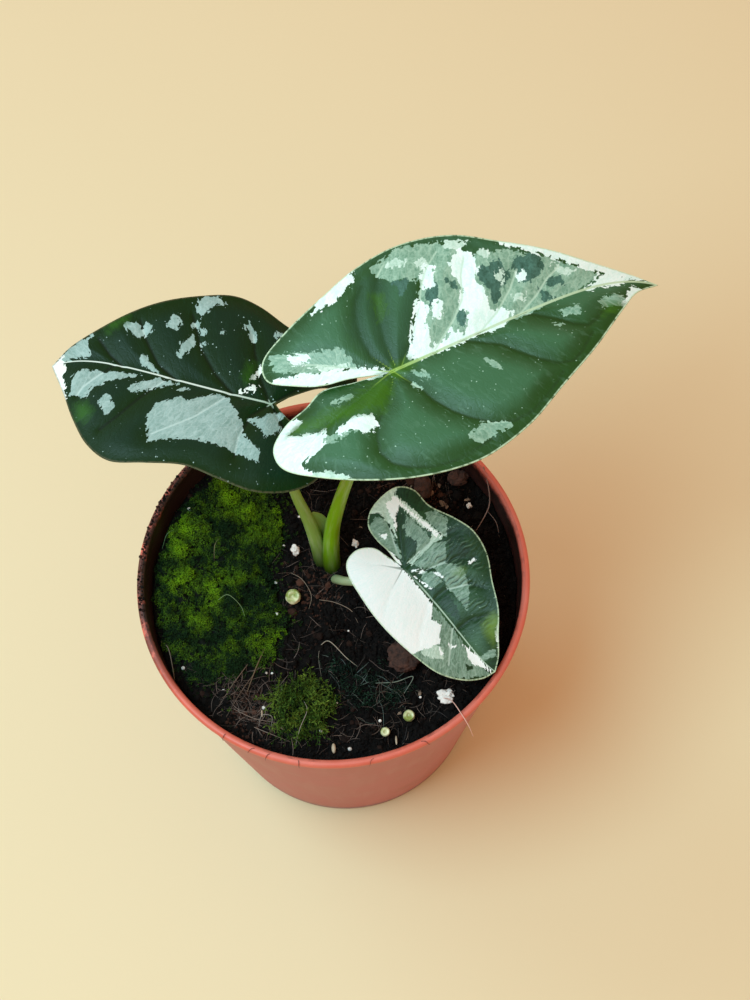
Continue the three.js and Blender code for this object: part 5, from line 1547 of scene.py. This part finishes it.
def sheathWing():
    look = sheathLook
    points, faces, marks, along = [], [], [], []
    for i in range(look["levels"] + 1):
        part = i / look["levels"]
        z = look["low"] + (look["high"] - look["low"]) * part
        left = centreAtHeight(leafStems["petioleB"]["points"], z)
        right = centreAtHeight(leafStems["petioleA"]["points"], z)
        right = right + np.array([look["pastStem"], look["behind"], 0])
        reach = 1 - look["taper"] * part ** 3
        for j in range(look["columns"] + 1):
            across = j / look["columns"] * reach
            x = left[0] + (right[0] - left[0]) * across
            y = left[1] + (right[1] - left[1]) * across + look["bulge"] * math.sin(math.pi * across)
            height = z - look["fall"] * part * across
            thin = look["thickness"] / 2 * (1 - 0.6 * max(part, across) ** 4)
            points += [(x, y - thin, height), (x, y + thin, height)]
            marks += [(j, 0, z)] * 2
            along += [0.12 + 0.25 * part] * 2
    columns = look["columns"] + 1

    def at(i, j, back):
        return 2 * (i * columns + j) + back

    for i in range(look["levels"]):
        for j in range(look["columns"]):
            faces.append((at(i, j, 0), at(i, j + 1, 0), at(i + 1, j + 1, 0), at(i + 1, j, 0)))
            faces.append((at(i + 1, j, 1), at(i + 1, j + 1, 1), at(i, j + 1, 1), at(i, j, 1)))
        faces.append((at(i, 0, 0), at(i + 1, 0, 0), at(i + 1, 0, 1), at(i, 0, 1)))
        last = look["columns"]
        faces.append((at(i, last, 1), at(i + 1, last, 1), at(i + 1, last, 0), at(i, last, 0)))
    for j in range(look["columns"]):
        top = look["levels"]
        faces.append((at(0, j, 1), at(0, j + 1, 1), at(0, j + 1, 0), at(0, j, 0)))
        faces.append((at(top, j, 0), at(top, j + 1, 0), at(top, j + 1, 1), at(top, j, 1)))
    return np.array(points), faces, {"place": np.array(marks, float), "along": np.array(along)}


def makeStems():
    for name, look in leafStems.items():
        parts = [tube(look["points"], look["radii"], stemMesh["steps"], stemMesh["sides"])]
        if name == "petioleB":
            parts.append(sheathWing())
        points, faces, values = parts[0]
        for morePoints, moreFaces, moreValues in parts[1:]:
            faces = faces + [tuple(i + len(points) for i in face) for face in moreFaces]
            points = np.vstack([points, morePoints])
            values = {key: np.concatenate([values[key], moreValues[key]]) for key in values}
        piece = fromPoints(name, points * mm, faces, values)
        coated(piece, makeStemMaterial(name, look["colours"], look["pale"]))
        dressed(piece, look["slot"], look["node"])


makeStems()
print("stems made")


# Rootstock: the frame's own solid, in a barky brown skin

def makeRootSkin():
    # Corm and roots: dry brown skin, in rings 1.75 mm apart; the wave repeats each tau / 20 of its unit
    material, tree = newMaterial("rootSkin")
    place = addNode(tree, "ShaderNodeTexCoord").outputs["Object"]
    rings = addNode(tree, "ShaderNodeTexWave", {"bands_direction": "Z"}, {
        "Vector": place, "Scale": math.tau / 20 / (1.75 * mm), "Distortion": 3.0, "Detail": 3.0,
    }).outputs["Fac"]
    tint = addNode(tree, *mixColour, {0: rings, 6: "#5b3f2a", 7: "#a98a66"})
    return finished(material, {"Base Color": tint, "Roughness": 0.8}, (rings, 0.4, 0.2))


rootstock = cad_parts["rootstock"]
rootstock.data.materials.clear()
rootstock.data.materials.append(makeRootSkin())


# Bark, perlite and feed beads, each in the box of its node

def makeBarkMaterial(name="compostedBark", dark="#1f110c", light="#573528"):
    # Composted pine bark: rust-brown where fresh and grey-tan where weathered, rough, with dark pits
    material, tree = newMaterial(name)
    place = addNode(tree, "ShaderNodeTexCoord").outputs["Object"]
    grain = addNode(tree, *noiseTexture, {
        "Vector": place, "Scale": 1 / (1.43 * mm), "Detail": 6.0, "Roughness": 0.7})
    lit = addNode(tree, *mapRange, {0: grain, 1: 0.35, 2: 0.7})
    tint = addNode(tree, *mixColour, {0: lit, 6: dark, 7: light})
    return finished(material, {"Base Color": tint, "Roughness": 0.85}, (grain, 0.9, 0.4))


def makePerliteMaterial():
    # Expanded perlite: brittle white foam of glass, dull, with open pores and a little peat dust
    material, tree = newMaterial("expandedPerlite")
    place = addNode(tree, "ShaderNodeTexCoord").outputs["Object"]
    pores = addNode(tree, "ShaderNodeTexVoronoi", {}, {"Vector": place, "Scale": 1 / (0.8 * mm)})
    dust = addNode(tree, *noiseTexture, {"Vector": place, "Scale": 1 / (2 * mm), "Detail": 3.0})
    dusty = addNode(tree, *mapRange, {0: dust, 1: 0.52, 2: 0.75, 4: 0.6})
    tint = addNode(tree, *mixColour, {0: dusty, 6: "#efe9e2", 7: "#8d7364"})
    return finished(material, {"Base Color": tint, "Roughness": 0.8}, (pores, 0.7, 0.3))


def makeBeadMaterial():
    # Coated feed bead: a smooth resin shell, cream to yellow-green where algae have settled
    material, tree = newMaterial("coatedFeedBead")
    place = addNode(tree, "ShaderNodeTexCoord").outputs["Object"]
    stain = addNode(tree, *noiseTexture, {"Vector": place, "Scale": 1 / (2.38 * mm), "Detail": 2.0})
    stained = addNode(tree, *mapRange, {0: stain, 1: 0.4, 2: 0.62})
    tint = addNode(tree, *mixColour, {0: stained, 6: "#e6e8bb", 7: "#8a9a4a"})
    return finished(material, {"Base Color": tint, "Roughness": 0.4, "IOR": 1.48})


def knobbly(way, seed):
    # Foam of glass: a few soft lobes with creases between them, and small pits
    lobes = noise.voronoi(way * 0.8 + Vector((seed, 0, 0)))[0][0]
    pits = noise.voronoi(way * 3.5 + Vector((0, 0, seed)))[0][0]
    return 1.1 - 0.85 * lobes ** 1.5 - 0.12 * pits + 0.25 * noise.noise(way * 1.6 + Vector((0, seed, 0)))


def rugged(way, seed):
    swell = 1 + 0.32 * noise.fractal(way * 1.7 + Vector((seed, 0, 0)), 1.0, 2.0, 4)
    return min(swell - 0.16 * abs(noise.noise(way * 5 + Vector((0, seed, 0)))), 1.02)


def emptied(way, seed):
    # A bead that has split open on top and shrunk a little
    opening = max(0, way.dot(Vector((0.15, -0.2, 0.96))) - 0.72) / 0.28
    return 1 + 0.05 * noise.noise(way * 2 + Vector((seed, 0, 0))) - 0.42 * min(opening * 1.6, 1)


def grain(name, node, slot, material, seed, form):
    low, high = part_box(node)
    centre, half = (low + high) / 2, (high - low) / 2
    work = bmesh.new()
    bmesh.ops.create_icosphere(work, subdivisions=5, radius=1)
    for vertex in work.verts:
        way = vertex.co.normalized()
        vertex.co = way * form(way, seed)
    piece = fromWork(name, work)
    co = np.array([v.co for v in piece.data.vertices], float)
    co = co / np.abs(co).max(0) * np.array(half) + np.array(centre)
    piece.data.vertices.foreach_set("co", co.astype(np.float32).ravel())
    return dressed(coated(piece, material), slot, node)


def makeGrains():
    bark, perlite, bead = makeBarkMaterial(), makePerliteMaterial(), makeBeadMaterial()
    for i in range(1, 4):
        grain(f"barkChip{i}", f"bark_chip_{i}", "bark", bark, 3.1 * i, rugged)
        grain(f"feedBead{i}", f"feed_bead_{i}", "feed_bead", bead, 5.7 * i, emptied)
    for i in range(1, 5):
        grain(f"perliteGrain{i}", f"perlite_{i}", "perlite", perlite, 2.3 * i, knobbly)


makeGrains()
print("grains made")


# Litter on the soil, set down on whatever lies beneath it

def groundUnder(pieces):
    trees = []
    for piece in pieces:
        mesh = piece.data
        trees.append(BVHTree.FromPolygons([v.co for v in mesh.vertices], [p.vertices for p in mesh.polygons]))

    def heightAt(x, y):
        start = Vector((x, y, 130)) * mm
        hits = [tree.ray_cast(start, Vector((0, 0, -1)))[0] for tree in trees]
        return max([hit.z / mm for hit in hits if hit] + [soilLevel])

    return heightAt


heightAt = groundUnder([soilPiece, *mossPieces])
rimTop = potSizes["height"]
litter = {
    # Specks: x, y and radius. Bark bits: x, y and size. Seeds: x, y, width and length.
    "specks": [(-36.5, 24, 0.55), (-15, 2.5, 0.45), (-15, -6.5, 0.45), (-39.5, -19, 0.5), (-29.5, -26, 0.55),
               (-19.5, -31, 0.5), (-18.5, -22, 0.4), (-17, -22, 0.35), (-5.5, -38, 0.5), (1.5, -43.3, 0.55),
               (9.5, -36.5, 0.45), (24.5, 22, 0.4), (-22, 5, 0.3), (3, -12, 0.3), (12, -17, 0.3),
               (31, -14, 0.3), (-8, 20, 0.4), (16, 22, 0.5), (38, 5, 0.3), (-1, -31, 0.3), (20, -31, 0.35),
               (-12.5, 12.5, 0.5)],
    "threads": {
        # Each thread: thickness, colour and points of x, y and height above what it lies on
        "sideRoot": (0.2, "#8d6f64", [(41, 18, 1.2), (43, 15, 0.5), (43.5, 11, 0.3)]),
        "paleRoot": (0.2, "#a39684", [(-4.5, -15.5, 0.4), (-2, -15, 1.6), (2, -19.5, 1.2), (5, -22, 0.1)]),
        "downRoot": (0.14, "#7d7466", [(-4.5, -15.5, 0.4), (-5, -19, 0.7), (-4.6, -24, 0.6)]),
        "stalk": (0.3, "#655138", [(-18.5, -15.5, 0.5), (-21, -21, 1.6), (-24, -28, 0.4)]),
        "bentStrand": (0.22, "#7e8878", [(9, -27, 0.9), (14, -27, 1.6), (18.5, -25.8, 1.2),
                                         (16, -29.8, 0.5)]),
        "leftRoot": (0.26, "#6e6354", [(-45, -11.5, 0.3), (-43, -14, 1.2), (-42, -19.5, 1),
                                       (-41.5, -25, 0.3)]),
        "strawOne": (0.2, "#5c493a", [(-20, -20, 0.6), (-25, -27, 1), (-29, -33, 0.4)]),
        "strawTwo": (0.22, "#6b5648", [(-23, -19.5, 0.5), (-27, -25, 1.4), (-31, -30, 0.3)]),
        "strawThree": (0.16, "#8a7668", [(-27, -31, 0.4), (-22, -34, 1.5), (-16, -35.5, 0.4)]),
        "strawFour": (0.16, "#8a7668", [(-24, -35, 0.4), (-19, -38, 1.4), (-13, -40.5, 0.3)]),
        "curlOne": (0.13, "#9b8f86", [(-21, -36, 0.2), (-20, -33.5, 1.8), (-17.5, -34, 2), (-18, -37, 0.4)]),
        "curlTwo": (0.13, "#a79a8e", [(-12, -41.5, 0.2), (-10.5, -38, 2.6), (-8.5, -34, 3.4),
                                      (-9.2, -31, 2)]),
        "mossHair": (0.12, "#5f8a5c", [(-44, 14, 0.2), (-42.5, 17, 2.6), (-40.5, 18.6, 1)]),
        "mossHairTwo": (0.12, "#7f9c6e", [(-30, -2.5, 0.3), (-27, -2, 2.4), (-24, -4.5, 1.6),
                                          (-23, -8, 0.2)]),
        "mossHairThree": (0.1, "#8b8466", [(-30.5, 9, 0.3), (-30, 12, 2.8), (-29, 14.5, 0.6)]),
        "stemFoot": (0.16, "#8d7866", [(-4, -3, 0.2), (0, -4.5, 1.4), (4, -7, 1), (5.5, -10, 0.2)]),
        "stemFootTwo": (0.12, "#9a8672", [(-11, 5, 0.2), (-8, 2, 1.6), (-6, -2, 1), (-7, -6, 0.2)]),
    },
    "wallThreads": {
        # These hang on the wall or over the rim, so their heights are from the floor
        "longRoot": (0.32, "#8d6f64", [(40.6, 27.5, rimTop + 0.4), (41.6, 22.6, 89.5), (41.6, 19.4, 87),
                                       (40.4, 17, 85.4), (37, 12, soilLevel + 0.6)]),
        "rimThread": (0.24, "#d9ada0", [(25, -32, 86), (27.5, -34.5, 90.5), (29.5, -38.5, rimTop + 0.6),
                                        (31.3, -41.7, 91.3), (32.3, -43.5, 88)]),
    },
    "rimHairs": [-126, -117, -112, -103, -82, -66],
    "barkBits": [(26.5, 25, 2.0), (30, 21, 2.4), (33.5, 27, 2.2), (24, 29, 1.7), (36, 22, 1.5), (22, 27, 1.4),
                 (29, 26.5, 1.3), (14.5, -35, 1.2), (-15, -37, 1.2), (8, 16, 1.1), (20, -30, 1.2)],
    "seeds": [(-2.5, -43, 1.1, 2.6), (13.2, -42, 0.5, 2.4), (-20, -32.6, 0.5, 2.0)],
}


def sphereAt(work, place, size, level=2):
    matrix = Matrix.Translation(Vector(place) * mm) @ Matrix.Diagonal((*(Vector(size) * mm), 1))
    return bmesh.ops.create_icosphere(work, subdivisions=level, radius=1, matrix=matrix)["verts"]


def makeThreadMaterial():
    # Fine dead roots and straw: dry, dull, each in its own faded colour
    material, tree = newMaterial("dryRootHair")
    stain = addNode(tree, "ShaderNodeAttribute", {"attribute_name": "stain"}).outputs["Color"]
    return finished(material, {"Base Color": stain, "Roughness": 0.6})


def makeThreads():
    points, faces, stains = [], [], []
    laidDown = {name: (thickness, colour, [(x, y, heightAt(x, y) + lift) for x, y, lift in line])
                for name, (thickness, colour, line) in litter["threads"].items()}
    hairs = {}
    dice = random.Random(12)
    for angle in litter["rimHairs"]:
        lean, hang = dice.uniform(-3, 3), dice.uniform(0.6, 3.2)
        spots = [(0.93, angle - 2 * lean, 87.4), (0.965, angle - lean, 90.6), (0.985, angle, rimTop + 0.3),
                 (1.004, angle + lean / 3, rimTop - 0.6), (1.006, angle + lean / 2, rimTop - hang)]
        radius = potSizes["rimRadius"]
        hairs[f"rimHair{angle}"] = (dice.uniform(0.09, 0.17), "#5c342b", [
            (radius * out * math.cos(math.radians(a)), radius * out * math.sin(math.radians(a)), z)
            for out, a, z in spots])
    for thickness, colour, line in {**laidDown, **litter["wallThreads"], **hairs}.values():
        radii = [thickness * 0.4] + [thickness * 0.5] * (len(line) - 2) + [thickness * 0.2]
        morePoints, moreFaces, _ = tube(line, radii, 40, 8)
        faces += [tuple(i + len(points) for i in face) for face in moreFaces]
        points += list(morePoints)
        stains += [linearColour(colour)] * len(morePoints)
    piece = fromPoints("rootThreads", np.array(points) * mm, faces, {"stain": stains})
    dressed(coated(piece, makeThreadMaterial()), "root")


def makeHuskMaterial():
    # Seed husk: papery, cream with a brown stain
    material, tree = newMaterial("paperySeedHusk")
    place = addNode(tree, "ShaderNodeTexCoord").outputs["Object"]
    stain = addNode(tree, *noiseTexture, {"Vector": place, "Scale": 1 / (1.67 * mm), "Detail": 3.0})
    tint = addNode(tree, *mixColour, {0: stain, 6: "#e3cfb2", 7: "#8a6a50"})
    return finished(material, {"Base Color": tint, "Roughness": 0.6})


def makeLitter():
    dice = random.Random(5)
    work = bmesh.new()
    for x, y, size in litter["specks"]:
        squash = (size, size * (0.8 + 0.2 * dice.random()), size * 0.85)
        sphereAt(work, (x, y, heightAt(x, y) + size * 0.6), squash)
    dressed(coated(fromWork("perliteSpecks", work), bpy.data.materials["expandedPerlite"]), "perlite")
    work = bmesh.new()
    for x, y, size in litter["barkBits"]:
        level = heightAt(x, y)
        corners = sphereAt(work, (x, y, level + size * 0.15), (size / 1.6, size / 3, size / 6))
        base = Vector((x, y, level)) * mm
        turn = Matrix.Rotation(dice.uniform(0, math.pi), 4, "Z")
        turn = turn @ Matrix.Rotation(dice.uniform(-0.4, 0.4), 4, "X")
        for vertex in corners:
            vertex.co = base + turn @ (vertex.co - base)
            place = vertex.co / (0.9 * mm)
            shift = Vector([noise.noise(place + Vector((0, 0, 7.3 * axis))) for axis in range(3)])
            vertex.co += Vector((shift.x, shift.y, shift.z * 0.6)) * 0.28 * size * mm
    weathered = makeBarkMaterial("weatheredBark", "#3f2c22", "#b39880")
    dressed(coated(fromWork("barkBits", work), weathered, False), "bark")
    work = bmesh.new()
    for x, y, width, length in litter["seeds"]:
        sphereAt(work, (x, y, heightAt(x, y) + length * 0.3), (width / 2, length / 2, width / 2), 3)
    dressed(coated(fromWork("seedHusks", work), makeHuskMaterial()), "bark")


driftSpots = [(-24, -31, 5.5), (-18, -36, 5), (-28, -24, 3.5)]
thinDriftSpots = [(-7, -41, 4), (3, -40, 4), (12, -38, 4), (22, -34, 4), (30, -27, 3), (-14, -24, 4),
                  (-36, -19, 3.5), (0, -30, 4), (13, -6, 5), (14, -30, 4)]
driftLook = {"Density": 1.7, "Smallest": 1.0, "Largest": 6.0, "Favour small": 1.8, "Tilt": 0.3,
             "Lift": 0.8, "Seed": 51}
wetHairLook = {"Density": 0.16, "Smallest": 2.0, "Largest": 8.0, "Favour small": 1.6, "Tilt": 0.3,
               "Lift": 0.9, "Seed": 57}


def makeDebris():
    # Thin dry stuff: a drift of brown fibre at the front left, and grey-green root hairs by the wet moss
    x, y, z = placesOf(soilPiece).T
    clear = clearOfWall(x, y, z, 1.5, 4)
    fibre = bpy.data.materials["dryPeatFibre"]
    straws = [strand(f"straw{i}", 30 + i, 0.12 + 0.06 * (i % 3), 0.014) for i in range(6)]
    hairs = [strand(f"hair{i}", 60 + i, 0.14 + 0.06 * (i % 3), 0.012) for i in range(6)]
    drift = spotsAt(x, y, driftSpots) + 0.28 * spotsAt(x, y, thinDriftSpots)
    setCover(soilPiece, clear * np.clip(drift, 0, 1))
    scattered("brownDrift", soilPiece, straws, fibre, driftLook, "peat")
    setCover(soilPiece, clear * np.clip(spotsAt(x, y, creepSpots), 0, 1))
    hair = finished(newMaterial("wetRootHair")[0], {"Base Color": "#4c5a52", "Roughness": 0.5})
    scattered("greyHairs", soilPiece, hairs, hair, wetHairLook, "root")


rimPeat = {"spokes": 60, "middle": math.radians(158), "spread": math.radians(34), "halfWidth": 0.7}
rimPeatLook = {"Density": 8.0, "Smallest": 0.2, "Largest": 1.1, "Favour small": 2.2, "Tilt": 0.8,
               "Lift": 0.05, "Seed": 44}


def makeRimPeat():
    # Crumbs left on the rim and outside it, on the side from which the pot was filled
    rimMiddle = potSizes["rimRadius"] - potSizes["rimWidth"] / 2
    points, faces, cover = [], [], []
    for k in range(rimPeat["spokes"] + 1):
        part = k / rimPeat["spokes"] * 2 - 1
        angle = rimPeat["middle"] + rimPeat["spread"] * part
        for r in (rimMiddle - rimPeat["halfWidth"], rimMiddle + rimPeat["halfWidth"]):
            points.append((r * math.cos(angle) * mm, r * math.sin(angle) * mm, rimTop * mm))
            cover.append((1 - abs(part) ** 3) * (0.4 + 0.6 * abs(math.sin(7 * part))))
    for k in range(rimPeat["spokes"]):
        faces.append((2 * k, 2 * k + 1, 2 * k + 3, 2 * k + 2))
    peat = bpy.data.materials["dampPeatCrumb"]
    values = {"cover": cover, "rusty": np.full(len(cover), 0.7)}
    strip = coated(fromPoints("rimStrip", points, faces, values), peat)
    crumbs = [lump(f"rimCrumb{i}", 90 + i) for i in range(4)]
    scattered("rimPeat", strip, crumbs, peat, rimPeatLook, "peat")
    bpy.data.objects.remove(strip)


makeThreads()
makeLitter()
makeDebris()
makeRimPeat()
print("litter made")
